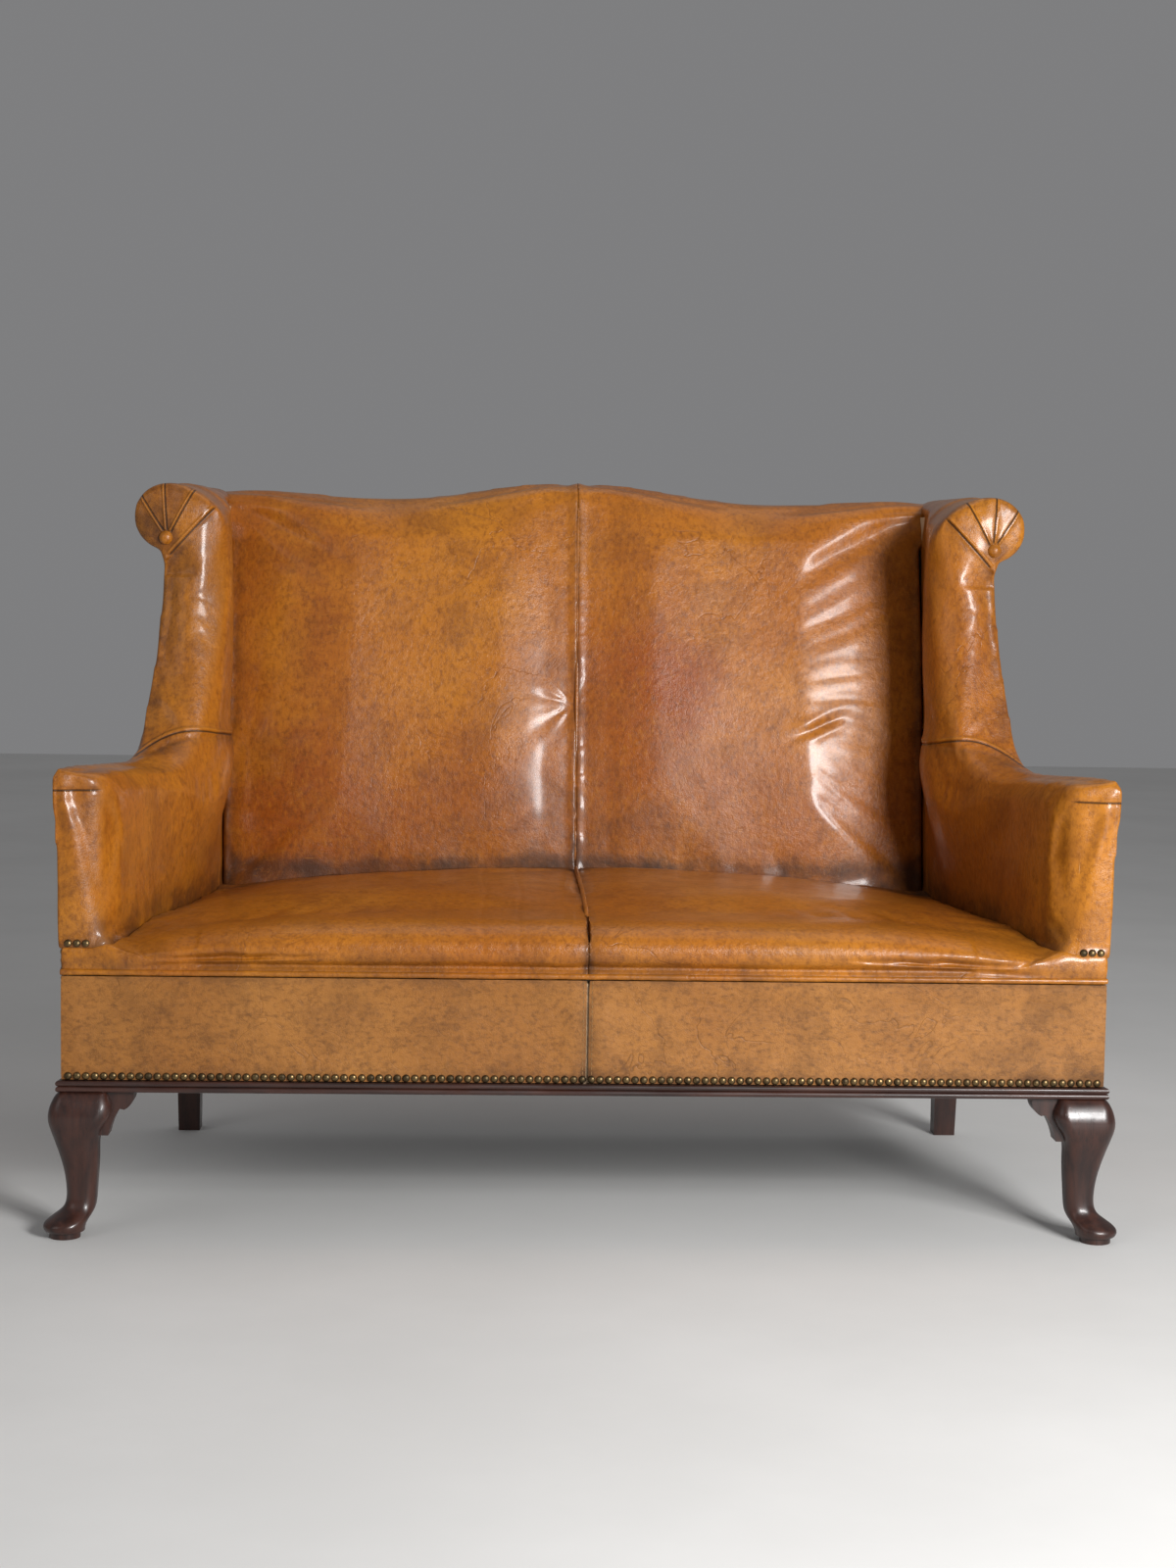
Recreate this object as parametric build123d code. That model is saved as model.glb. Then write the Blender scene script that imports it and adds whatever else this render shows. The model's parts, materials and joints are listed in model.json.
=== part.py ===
from build123d import *
from math import ceil, cos, pi, radians, sin, sqrt, tan
import os

# Two-seat settee with rolled wings and a camel back: leather over a doweled hardwood frame.
# Millimetres. X runs across the front, +Y to the back, +Z up. Depths are counted from the front
# cover, and the whole part is moved at the end so that its footprint is centred on the origin.

# Overall form
BASE_WIDTH = 1350.0  # across the front seat border
BASE_DEPTH = 643.0  # front border to outside back, at the rails
SIDE_TAPER = 6.1  # degrees that each side turns in towards the back
SIDE_LEAN = 3.4  # degrees that each side leans in above the rails
BACK_RAKE = 7.0  # degrees that the back leans
ARM_FLARE = 22.0  # how far the arm fronts stand out from the leaning side
FLARE_LENGTH = 330.0  # depth at which the flare has died away
LEG_HEIGHT = 190.0
RAIL_TOP = LEG_HEIGHT + 145.0  # each height stands on the one that carries it
ARM_TOP = RAIL_TOP + 275.0
WING_TOP = ARM_TOP + 270.0  # where the wing meets its scroll
BACK_HUMP = WING_TOP + 123.0
BACK_DIP = BACK_HUMP - 28.0
BACK_END = BACK_HUMP - 17.0
DIP_SHARE = 0.59  # place of each dip, as a share of the half back
POST_TOP = BACK_HUMP - 43.0

# Covers and clearances
SIDE_COVER = 5.0  # outside leather with its backing
BACK_COVER = 5.0
FRONT_COVER = 6.0  # seat border with its wadding
CLEAR = 0.4
SOFT_CLEAR = 1.5  # between padded covers
SEAM = 0.8  # between two halves of a cover

# Hardwood frame
RAIL_THICK = 32.0
SIDE_FRAME = 36.0  # thickness of everything inside the arms and wings
STILE = 48.0  # square top of the front leg
POST_WIDTH = 38.0
POST_DEPTH = 38.0
REAR_FOOT = 32.0
REAR_SPLAY = 17.0
ARM_POST = 42.0
ARM_RAIL = 28.0
TACK_RAIL_LOW = RAIL_TOP + 57.0
TACK_RAIL = 30.0
WING_POST = 40.0
SCROLL_BLOCK = 44.0
BACK_RAIL = 26.0  # thickness of the back rails
TOP_RAIL_HEIGHT = 85.0
LOW_RAIL_BOTTOM = RAIL_TOP + 95.0
LOW_RAIL_HEIGHT = 55.0
BACK_STILE = 45.0
CENTRE_RAIL_WIDTH = 42.0
CENTRE_RAIL_HEIGHT = 60.0
BLOCK_SIDE = 75.0
BLOCK_HEIGHT = 70.0
DOWEL_DIAMETER = 10.0
DOWEL_LENGTH = 64.0
DOWEL_DROP = 40.0  # upper dowel below the rail top
DOWEL_SPACING = 60.0

# Reeded moulding
MOULDING_HEIGHT = 15.0
MOULDING_PROUD = 5.0
REED_DEPTH = 3.2

# Cabriole front leg, measured out from the corner of the base
KNEE_OUT = 16.0
KNEE_DROP = 34.0
KNEE_SIZE = 77.0
LEG_TOP_SIZE = 60.0
ANKLE_SIZE = 39.0
ANKLE_HEIGHT = 58.0
ANKLE_IN = 5.0
FOOT_OUT = 22.0
FOOT_SIZE = 54.0
FOOT_HEIGHT = 17.0
SHOE_DIAMETER = 40.0
SHOE_HEIGHT = 9.0
EAR_REACH = 33.0
EAR_HEIGHT = 58.0
EAR_THICK = 30.0
EAR_SETBACK = 7.0

# Seat
WELT = 8.0
HESSIAN = 1.5
SEAT_GAP = 7.0  # seat to the face of the back
SEAT_CROWN = RAIL_TOP + 91.0
SEAT_SIDE = RAIL_TOP + 56.0
SEAT_NOSE = 44.0  # height of the front roll above the welt
EAR_TOP = RAIL_TOP + 41.0  # seat ends under the arm fronts
EAR_DEPTH = 58.0
STUFFING_WALL = 18.0
WEB_STRAP = 50.0
WEB_THICK = 2.5
WEB_GAP = 34.0
SPRING_DIAMETER = 80.0
SPRING_PITCH_X = 230.0
SPRING_PITCH_Y = 150.0

# Arms and wings
ARM_THICK = 60.0  # arm front, in from the corner of the base
INNER_REAR_IN = 146.0  # inside of the arms and wings beside the back, in from that corner
ARM_PROUD = 4.0  # arm roll beyond the outside cover
ARM_PAD = 24.0  # padding over the top and the front of the arm frame
ARM_CORNER = 32.0
ARM_FLAT = 262.0  # level part of the arm top
BOLSTER_LOW = RAIL_TOP + 67.0  # where the inside of the arm starts to swell out to the wing
BOLSTER_FRONT = 215.0
BOLSTER_SINK = 6.0  # edges of the swelling, in the arm
WING_SEAM = ARM_TOP + 28.0
WING_START = 330.0
WING_SWEEP = 92.0
WING_THICK = 174.0  # inner edge of the wing front, in from the corner of the base
WING_CORNER = 46.0
WING_FALL = 14.0  # how far the wing front falls back towards its outer edge
SCROLL_RADIUS = 51.0
SCROLL_RADIUS_REAR = 40.0
SCROLL_HEIGHT = WING_TOP + 54.0  # centre of the roll
SCROLL_RISE = 11.0
SCROLL_EDGE = 13.0
PLEAT_DEPTH = 3.0
PLEAT_ANGLES = (57.0, 86.0, 118.0)  # from straight outwards
BUTTON_DIAMETER = 20.0
BUTTON_HEIGHT = 7.0
BUTTON_DROP = 30.0  # button below the scroll centre

# Back
BACK_BOTTOM = RAIL_TOP + 37.0
BACK_THICK_LOW = 116.5  # face of the back to the rear of its frame, at the seat
BACK_THICK_TOP = 76.6
BACK_SWELL = 13.0
BACK_ROLL = 40.0
BACK_CAP = 18.0  # padding on top of the top rail
SEAM_DEPTH = 5.0
EDGE_DEPTH = 24.0

# Domed nails
NAIL_DIAMETER = 10.2
NAIL_HEIGHT = 3.4
NAIL_PITCH = 11.3
NAIL_RISE = 6.0  # row above the moulding
STOP_NAILS = 3

# Values that follow from the sizes above
HALF = BASE_WIDTH / 2
FRAME_BACK = BASE_DEPTH - BACK_COVER
MOULDING_TOP = LEG_HEIGHT + MOULDING_HEIGHT
WEB_TOP = LEG_HEIGHT + 3 * WEB_THICK
RAIL_BOTTOM = WEB_TOP
BORDER_TOP = RAIL_TOP + WELT * 0.75
WELT_HEIGHT = BORDER_TOP + WELT / 2
SEAT_BOTTOM = BORDER_TOP + WELT
SEAT_BASE = RAIL_TOP + HESSIAN
STILE_BACK = FRONT_COVER + STILE
TAPER = tan(radians(SIDE_TAPER))
LEAN = tan(radians(SIDE_LEAN))
RAKE = tan(radians(BACK_RAKE))
WING_INNER = HALF - WING_THICK
INNER_REAR = HALF - INNER_REAR_IN
BACK_HALF = INNER_REAR - SOFT_CLEAR
DIP_PLACE = BACK_HALF * DIP_SHARE
SEAT_DEPTH = FRAME_BACK + (BACK_BOTTOM - RAIL_TOP) * RAKE - BACK_THICK_LOW - SEAT_GAP


# Lines that every piece is set out from
def side_out(y, z):
    """Outside face of the right-hand side at depth y and height z."""
    rise = max(0.0, z - RAIL_TOP)
    flare = ARM_FLARE * max(0.0, 1 - y / FLARE_LENGTH)
    return HALF - y * TAPER - rise * LEAN + flare * min(1.0, rise / (ARM_TOP - RAIL_TOP))


def frame_rear(z):
    """Rear face of the back frame at height z."""
    return FRAME_BACK + max(0.0, z - RAIL_TOP) * RAKE


def arm_inner(y):
    """Inside face of the right-hand arm at depth y."""
    share = min(1.0, y / SEAT_DEPTH)
    return HALF - ARM_THICK + (INNER_REAR - HALF + ARM_THICK) * share


def wing_front(z):
    """Front edge of the wing at height z."""
    share = (z - ARM_TOP) / (WING_TOP - ARM_TOP)
    return WING_START + WING_SWEEP * (1 - (1 - share) ** 2)


def camel(x):
    """Height of the back's top line."""
    x = abs(x)
    if x < DIP_PLACE:
        return BACK_DIP + (BACK_HUMP - BACK_DIP) * (1 + cos(pi * x / DIP_PLACE)) / 2
    share = min(1.0, (x - DIP_PLACE) / (BACK_HALF - DIP_PLACE))
    return BACK_DIP + (BACK_END - BACK_DIP) * (1 - cos(pi * share)) / 2


def post_front(z):
    """Front face of the back posts at height z."""
    return frame_rear(z) - POST_DEPTH


def wing_pocket_edge():
    """Points up the front edge of the wing's frame, behind its padding."""
    levels = [WING_SEAM + (WING_TOP - WING_SEAM) * share for share in (0.0, 0.33, 0.67, 1.0)]
    return [(wing_front(z) + ARM_PAD, z) for z in levels]


def polygon(points):
    return make_face(Polyline(*points, close=True))


def plan_prism(points, low, high):
    return extrude(Pos(0, 0, low) * polygon(points), high - low)


def across(face, x_from, x_to):
    """Push a face drawn in depth and height from one X to another."""
    return extrude(Plane.YZ.offset(x_from) * face, x_to - x_from)


def side_prism(face):
    """Cut a side outline through the whole thickness of the right-hand side."""
    return across(face, WING_INNER - SIDE_FRAME, HALF + SIDE_FRAME * 2)


def side_slab(outer, inner):
    """Slab that follows the outside face between two distances inside it."""
    heights = (0.0, RAIL_TOP, ARM_TOP, BACK_HUMP)
    sections = []
    for y in (-STILE, FLARE_LENGTH, BASE_DEPTH * 1.4):
        points = [(side_out(y, z) - outer, z) for z in heights]
        points += [(side_out(y, z) - inner, z) for z in reversed(heights)]
        sections.append(Plane.XZ.offset(-y) * polygon(points))
    return loft(sections, ruled=True)


def side_member(face):
    """Frame piece inside the right-hand side, from its side outline."""
    return side_slab(SIDE_COVER, SIDE_COVER + SIDE_FRAME) & side_prism(face)


def mirrored(solid):
    return mirror(solid, about=Plane.YZ)


# Show wood
def front_leg():
    """Right-hand cabriole leg with its square stile and turned shoe."""
    knee = LEG_HEIGHT - KNEE_DROP
    foot_in = FOOT_OUT - FOOT_SIZE
    calf = (knee + ANKLE_HEIGHT) / 2
    stations = (
        (LEG_HEIGHT, 0.0, LEG_TOP_SIZE, 0.12),
        (LEG_HEIGHT - KNEE_DROP * 0.5, KNEE_OUT * 0.8, KNEE_SIZE, 0.2),
        (knee, KNEE_OUT, KNEE_SIZE, 0.24),
        (knee * 0.6 + calf * 0.4, KNEE_OUT * 0.75, KNEE_SIZE * 0.6 + ANKLE_SIZE * 0.4, 0.3),
        (calf, KNEE_OUT * 0.2, KNEE_SIZE * 0.28 + ANKLE_SIZE * 0.72, 0.34),
        (ANKLE_HEIGHT, -ANKLE_IN, ANKLE_SIZE, 0.4),
        ((ANKLE_HEIGHT + FOOT_HEIGHT) / 2, -ANKLE_IN * 0.3, ANKLE_SIZE * 1.04, 0.43),
        (FOOT_HEIGHT * 1.5, FOOT_OUT * 0.6, FOOT_SIZE * 0.92, 0.45),
        (FOOT_HEIGHT, FOOT_OUT, FOOT_SIZE, 0.47),
        (SHOE_HEIGHT, FOOT_OUT * 0.9, FOOT_SIZE * 0.93, 0.47),
    )
    sections = []
    for z, out, size, rounding in stations:
        middle = out - size / 2
        place = Pos(HALF + middle, -middle, z)
        sections.append(place * RectangleRounded(size, size, size * rounding))
    leg = loft(sections)
    shoe_middle = (FOOT_OUT + foot_in) / 2
    shoe = Cylinder(SHOE_DIAMETER / 2, SHOE_HEIGHT, align=(Align.CENTER, Align.CENTER, Align.MIN))
    leg += Pos(HALF + shoe_middle, -shoe_middle, 0) * shoe
    outer = side_out(STILE_BACK, RAIL_TOP) - SIDE_COVER
    stile = [
        (outer - STILE, FRONT_COVER),
        (outer, FRONT_COVER),
        (outer, STILE_BACK),
        (outer - STILE, STILE_BACK),
    ]
    return leg + plan_prism(stile, LEG_HEIGHT, RAIL_TOP)


def ear_outline():
    """Scrolled bracket outline: reach away from the leg, and height."""
    top = LEG_HEIGHT
    tip = EAR_REACH
    step = EAR_REACH * 0.62
    root = KNEE_SIZE / 2
    lip = top - EAR_HEIGHT * 0.1
    bend = top - EAR_HEIGHT * 0.42
    return make_face(
        [
            Line((-root, top), (tip, top)),
            Line((tip, top), (tip, lip)),
            ThreePointArc((tip, lip), (tip * 0.92, top - EAR_HEIGHT * 0.26), (step, bend)),
            Line((step, bend), (step * 0.72, bend + EAR_HEIGHT * 0.02)),
            ThreePointArc(
                (step * 0.72, bend + EAR_HEIGHT * 0.02),
                (step * 0.3, top - EAR_HEIGHT * 0.66),
                (0, top - EAR_HEIGHT),
            ),
            Line((0, top - EAR_HEIGHT), (-root, top - EAR_HEIGHT)),
            Line((-root, top - EAR_HEIGHT), (-root, top)),
        ]
    )


def knee_ears(leg):
    """Front and side bracket of the right-hand leg, shaped to the leg."""
    inner = HALF - LEG_TOP_SIZE
    facing = Plane((inner, EAR_SETBACK, 0), x_dir=(-1, 0, 0), z_dir=(0, 1, 0))
    front = extrude(facing * ear_outline(), EAR_THICK)
    edge = side_out(LEG_TOP_SIZE + EAR_REACH, LEG_HEIGHT) - EAR_SETBACK
    sideways = Plane((edge, LEG_TOP_SIZE, 0), x_dir=(0, 1, 0), z_dir=(1, 0, 0))
    side = extrude(sideways * ear_outline(), -EAR_THICK)
    return [front - leg, side - leg]


def moulding_profile(depth):
    """Two reeds, one above the other: distance in front of the cover, and height."""
    half = MOULDING_HEIGHT / 2
    face = MOULDING_PROUD - REED_DEPTH
    low, mid, high = LEG_HEIGHT, LEG_HEIGHT + half, MOULDING_TOP
    return make_face(
        [
            Line((-depth, low), (face, low)),
            ThreePointArc((face, low), (MOULDING_PROUD, low + half / 2), (face, mid)),
            ThreePointArc((face, mid), (MOULDING_PROUD, mid + half / 2), (face, high)),
            Line((face, high), (-depth, high)),
            Line((-depth, high), (-depth, low)),
        ]
    )


def mouldings():
    """Front and right-hand strip, mitred at the corner."""
    turn = 1 / cos(radians(SIDE_TAPER))
    tip = (HALF + MOULDING_PROUD * (TAPER + turn), -MOULDING_PROUD)
    depth = SIDE_COVER - CLEAR
    heel = (HALF - FRONT_COVER * TAPER - depth * turn, FRONT_COVER)
    end_out = HALF - FRAME_BACK * TAPER + MOULDING_PROUD * turn
    end_in = HALF - FRAME_BACK * TAPER - depth * turn
    front_plan = [(-tip[0], tip[1]), tip, heel, (-heel[0], heel[1])]
    side_plan = [tip, (end_out, FRAME_BACK), (end_in, FRAME_BACK), heel]
    end = Plane((-tip[0], 0, 0), x_dir=(0, -1, 0), z_dir=(-1, 0, 0))
    front_face = end * moulding_profile(FRONT_COVER)
    along = Vector(-sin(radians(SIDE_TAPER)), cos(radians(SIDE_TAPER)), 0)
    out = Vector(cos(radians(SIDE_TAPER)), sin(radians(SIDE_TAPER)), 0)
    corner = Vector(HALF, 0, 0)
    start = Plane(corner - along * STILE, x_dir=out, z_dir=out.cross(Vector(0, 0, 1)))
    side_face = start * moulding_profile(depth)
    front = extrude(front_face, 2 * tip[0], dir=(1, 0, 0))
    side = extrude(side_face, BASE_DEPTH + 2 * STILE, dir=along)
    front &= plan_prism(front_plan, LEG_HEIGHT, MOULDING_TOP)
    side &= plan_prism(side_plan, LEG_HEIGHT, MOULDING_TOP)
    return front, side


def upright():
    """Right-hand rear leg and back post, sawn from one piece."""
    stations = (
        (0.0, REAR_FOOT, REAR_FOOT, FRAME_BACK + REAR_SPLAY),
        (LEG_HEIGHT, POST_WIDTH, POST_DEPTH, FRAME_BACK),
        (RAIL_TOP, POST_WIDTH, POST_DEPTH, FRAME_BACK),
        (POST_TOP, POST_WIDTH, POST_DEPTH, frame_rear(POST_TOP)),
    )
    sections = []
    for z, width, depth, rear in stations:
        outer = side_out(rear, z) - SIDE_COVER
        place = Pos(outer - width / 2, rear - depth / 2, z)
        sections.append(place * Rectangle(width, depth))
    return loft(sections, ruled=True)


# Hardwood frame
def seat_rails(dowels):
    """Front, rear, right-hand and centre rail."""
    inner = side_out(STILE_BACK, RAIL_TOP) - SIDE_COVER - STILE
    post_inner = side_out(FRAME_BACK, LEG_HEIGHT) - SIDE_COVER - POST_WIDTH
    rear_front = FRAME_BACK - RAIL_THICK
    front = Pos(0, FRONT_COVER + RAIL_THICK / 2, (RAIL_BOTTOM + RAIL_TOP) / 2) * Box(
        2 * inner, RAIL_THICK, RAIL_TOP - RAIL_BOTTOM
    )
    rear = Pos(0, FRAME_BACK - RAIL_THICK / 2, (RAIL_BOTTOM + RAIL_TOP) / 2) * Box(
        2 * post_inner, RAIL_THICK, RAIL_TOP - RAIL_BOTTOM
    )
    side_plan = []
    for y, inset in (
        (STILE_BACK, SIDE_COVER),
        (FRAME_BACK - POST_DEPTH, SIDE_COVER),
        (FRAME_BACK - POST_DEPTH, SIDE_COVER + RAIL_THICK),
        (STILE_BACK, SIDE_COVER + RAIL_THICK),
    ):
        side_plan.append((side_out(y, RAIL_BOTTOM) - inset, y))
    side = plan_prism(side_plan, RAIL_BOTTOM, RAIL_TOP)
    front_back = FRONT_COVER + RAIL_THICK
    centre = Pos(0, (front_back + rear_front) / 2, RAIL_BOTTOM + CENTRE_RAIL_HEIGHT / 2) * Box(
        CENTRE_RAIL_WIDTH, rear_front - front_back, CENTRE_RAIL_HEIGHT
    )
    return front - dowels, rear - dowels, side, centre


def rail_dowels():
    """Two dowels at each end of the front and the rear rail."""
    inner = side_out(STILE_BACK, RAIL_TOP) - SIDE_COVER - STILE
    post_inner = side_out(FRAME_BACK, LEG_HEIGHT) - SIDE_COVER - POST_WIDTH
    pin = Rot(0, 90, 0) * Cylinder(DOWEL_DIAMETER / 2, DOWEL_LENGTH)
    dowels = []
    for end, y in (
        (inner, FRONT_COVER + RAIL_THICK / 2),
        (post_inner, FRAME_BACK - RAIL_THICK / 2),
    ):
        for z in (RAIL_TOP - DOWEL_DROP, RAIL_TOP - DOWEL_DROP - DOWEL_SPACING):
            for side in (-1, 1):
                dowels.append(Pos(side * end, y, z) * pin)
    return dowels


def corner_blocks():
    """Glue blocks in the four corners of the seat frame."""
    front_x = side_out(STILE_BACK, RAIL_TOP) - SIDE_COVER - STILE
    front_y = FRONT_COVER + RAIL_THICK
    rear_x = side_out(FRAME_BACK, LEG_HEIGHT) - SIDE_COVER - POST_WIDTH
    rear_y = FRAME_BACK - RAIL_THICK
    low = RAIL_TOP - BLOCK_HEIGHT
    blocks = []
    for x, y, towards in ((front_x, front_y, 1), (rear_x, rear_y, -1)):
        plan = [(x, y), (x - BLOCK_SIDE, y), (x, y + towards * BLOCK_SIDE)]
        block = plan_prism(plan, low, RAIL_TOP)
        blocks += [block, mirrored(block)]
    return blocks


def arm_frame():
    """Right-hand arm post, arm rail and tacking rail."""
    top = ARM_TOP - ARM_PAD
    low = top - ARM_RAIL
    post_back = ARM_PAD / 2 + ARM_POST
    front = ARM_PAD / 2
    tack_top = TACK_RAIL_LOW + TACK_RAIL
    post = [(front, RAIL_TOP), (post_back, RAIL_TOP), (post_back, top), (front, top)]
    rail = [(post_back, low), (post_front(low), low), (post_front(top), top), (post_back, top)]
    tack = [
        (post_back, TACK_RAIL_LOW),
        (post_front(TACK_RAIL_LOW), TACK_RAIL_LOW),
        (post_front(tack_top), tack_top),
        (post_back, tack_top),
    ]
    return [side_member(polygon(points)) for points in (post, rail, tack)]


def wing_frame():
    """Right-hand wing post and the block that the scroll is built over."""
    foot = ARM_TOP - ARM_PAD
    head = SCROLL_HEIGHT - SCROLL_BLOCK / 2
    top = SCROLL_HEIGHT + SCROLL_BLOCK / 2
    edge = wing_pocket_edge()
    back_edge = [(y + WING_POST, z) for y, z in edge]
    low, high = edge[0][0], edge[-1][0]
    post_face = make_face(
        [
            Line((low, foot), edge[0]),
            Spline(*edge),
            Polyline(edge[-1], (high, head), (high + WING_POST, head), back_edge[-1]),
            Spline(*reversed(back_edge)),
            Polyline(back_edge[0], (low + WING_POST, foot), (low, foot)),
        ]
    )
    block = [(high, head), (post_front(head), head), (post_front(top), top), (high, top)]
    return side_member(post_face), side_member(polygon(block))


def back_frame():
    """Camel top rail, lower rail and centre stile, flush with the rear of the posts."""
    reach = side_out(frame_rear(POST_TOP), POST_TOP) - SIDE_COVER - POST_WIDTH
    low = BACK_DIP - BACK_CAP - TOP_RAIL_HEIGHT
    slab_face = polygon(
        [
            (frame_rear(RAIL_TOP) - BACK_RAIL, RAIL_TOP),
            (frame_rear(RAIL_TOP), RAIL_TOP),
            (frame_rear(BACK_HUMP), BACK_HUMP),
            (frame_rear(BACK_HUMP) - BACK_RAIL, BACK_HUMP),
        ]
    )
    slab = across(slab_face, -HALF, HALF)
    steps = 12
    crest = []
    for step in range(-steps, steps + 1):
        x = reach * step / steps
        crest.append((x, camel(x) - BACK_CAP))
    top_face = make_face(
        [
            Spline(*crest),
            Line(crest[-1], (reach, low)),
            Line((reach, low), (-reach, low)),
            Line((-reach, low), crest[0]),
        ]
    )
    top = slab & extrude(Plane.XZ * top_face, -BASE_DEPTH * 2)
    low_top = LOW_RAIL_BOTTOM + LOW_RAIL_HEIGHT
    low_reach = side_out(frame_rear(low_top), low_top) - SIDE_COVER - POST_WIDTH
    lower_face = polygon(
        [
            (-low_reach, LOW_RAIL_BOTTOM),
            (low_reach, LOW_RAIL_BOTTOM),
            (low_reach, low_top),
            (-low_reach, low_top),
        ]
    )
    lower = slab & extrude(Plane.XZ * lower_face, -BASE_DEPTH * 2)
    half = BACK_STILE / 2
    stile_face = polygon([(-half, low_top), (half, low_top), (half, low), (-half, low)])
    stile = slab & extrude(Plane.XZ * stile_face, -BASE_DEPTH * 2)
    return top, lower, stile


# Suspension and filling
def seat_webbing():
    """Straps tacked under the rails, front to back and side to side."""
    front = FRONT_COVER + RAIL_THICK / 2
    rear = FRAME_BACK - RAIL_THICK / 2
    straps = []
    step = WEB_STRAP + WEB_GAP
    reach = side_out(rear, RAIL_BOTTOM) - SIDE_COVER - POST_WIDTH - WEB_STRAP
    count = int(reach // step)
    for index in range(-count, count + 1):
        length = Box(WEB_STRAP, rear - front, WEB_THICK)
        straps.append(Pos(index * step, (front + rear) / 2, WEB_TOP - WEB_THICK / 2) * length)
    rows = int((rear - front - WEB_STRAP) // (step + WEB_GAP))
    for index in range(rows):
        y = STILE_BACK + WEB_STRAP + index * (step + WEB_GAP)
        width = 2 * (side_out(y + WEB_STRAP, RAIL_BOTTOM) - SIDE_COVER - RAIL_THICK / 2)
        straps.append(Pos(0, y, WEB_TOP - WEB_THICK * 1.5) * Box(width, WEB_STRAP, WEB_THICK))
    return straps


def seat_springs():
    """Pocketed springs, each a closed calico cylinder that stands on the webbing."""
    height = RAIL_TOP - WEB_TOP - CLEAR
    bottom = (Align.CENTER, Align.CENTER, Align.MIN)
    pocket = Cylinder(SPRING_DIAMETER / 2, height, align=bottom)
    front = FRONT_COVER + RAIL_THICK + BLOCK_SIDE + SPRING_DIAMETER / 2
    springs = []
    for column in (-1.5, -0.5, 0.5, 1.5):
        for row in range(3):
            place = Pos(column * SPRING_PITCH_X, front + row * SPRING_PITCH_Y, WEB_TOP)
            springs.append(place * pocket)
    return springs


def seat_plan(front, rear, inset):
    """Plan of the seat between the sides."""
    return [
        (-side_out(front, RAIL_BOTTOM) + inset, front),
        (side_out(front, RAIL_BOTTOM) - inset, front),
        (side_out(rear, RAIL_BOTTOM) - inset, rear),
        (-side_out(rear, RAIL_BOTTOM) + inset, rear),
    ]


def seat_line(y):
    """Crown and side height of the seat at depth y."""
    rise = min(1.0, max(0.0, (y + WELT) / (SEAT_DEPTH * 0.55)))
    swell = (1 - (1 - rise) ** 3.2) * (1 - 0.02 * max(0.0, y / SEAT_DEPTH - 0.6))
    nose = SEAT_BOTTOM + SEAT_NOSE * 0.3
    return nose + (SEAT_CROWN - nose) * swell, nose + (SEAT_SIDE - nose) * swell


def seat_section(y, inner, inset, low):
    """Half section of the seat, from the centre seam to the arm."""
    crown, side = seat_line(y)
    crown, side = crown - inset, side - inset
    width = arm_inner(max(0.0, y)) - SOFT_CLEAR - inset
    middle = (width * 0.55, side + (crown - side) * 0.72)
    face = make_face(
        [
            Line((inner, low), (width, low)),
            Line((width, low), (width, side)),
            ThreePointArc((width, side), middle, (inner, crown)),
            Line((inner, crown), (inner, low)),
        ]
    )
    return Plane.XZ.offset(-y) * face


def seat_stuffing():
    """Hair stuffing on the hessian, under both seat covers."""
    rear = SEAT_DEPTH - STUFFING_WALL
    depths = (STUFFING_WALL * 2, SEAT_DEPTH * 0.3, SEAT_DEPTH * 0.6, rear)
    half = loft([seat_section(y, 0.0, STUFFING_WALL, SEAT_BOTTOM) for y in depths])
    front = FRONT_COVER + WELT / 2
    slab = []
    for y in (front, rear):
        slab.append((arm_inner(y) - STUFFING_WALL, y))
    slab += [(0, rear), (0, front)]
    half += plan_prism(slab, SEAT_BASE, SEAT_BOTTOM)
    return half + mirrored(half)


def seat_cover(inner_pieces):
    """Right-hand half of the crowned seat, with its end under the arm front."""
    depths = [-WELT * 0.4, WELT * 1.5]
    depths += [SEAT_DEPTH * share for share in (0.09, 0.24, 0.5, 0.78, 1.0)]
    cover = loft([seat_section(y, SEAM / 2, 0.0, SEAT_BOTTOM) for y in depths])
    notch = ARM_PAD / 2
    inner = arm_inner(EAR_DEPTH) - ARM_CORNER
    end = [
        (inner, 0),
        (side_out(0, SEAT_BOTTOM), 0),
        (side_out(notch, SEAT_BOTTOM), notch),
        (side_out(notch, SEAT_BOTTOM) - SIDE_COVER - CLEAR, notch),
        (side_out(EAR_DEPTH, SEAT_BOTTOM) - SIDE_COVER - CLEAR, EAR_DEPTH),
        (inner, EAR_DEPTH),
    ]
    cover += plan_prism(end, SEAT_BOTTOM, EAR_TOP)
    return cover - inner_pieces


def back_face(z):
    """Depth of the back's face at height z, before its swell."""
    share = (z - BACK_BOTTOM) / (BACK_DIP - BACK_BOTTOM)
    return frame_rear(z) - BACK_THICK_LOW + (BACK_THICK_LOW - BACK_THICK_TOP) * share


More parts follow.
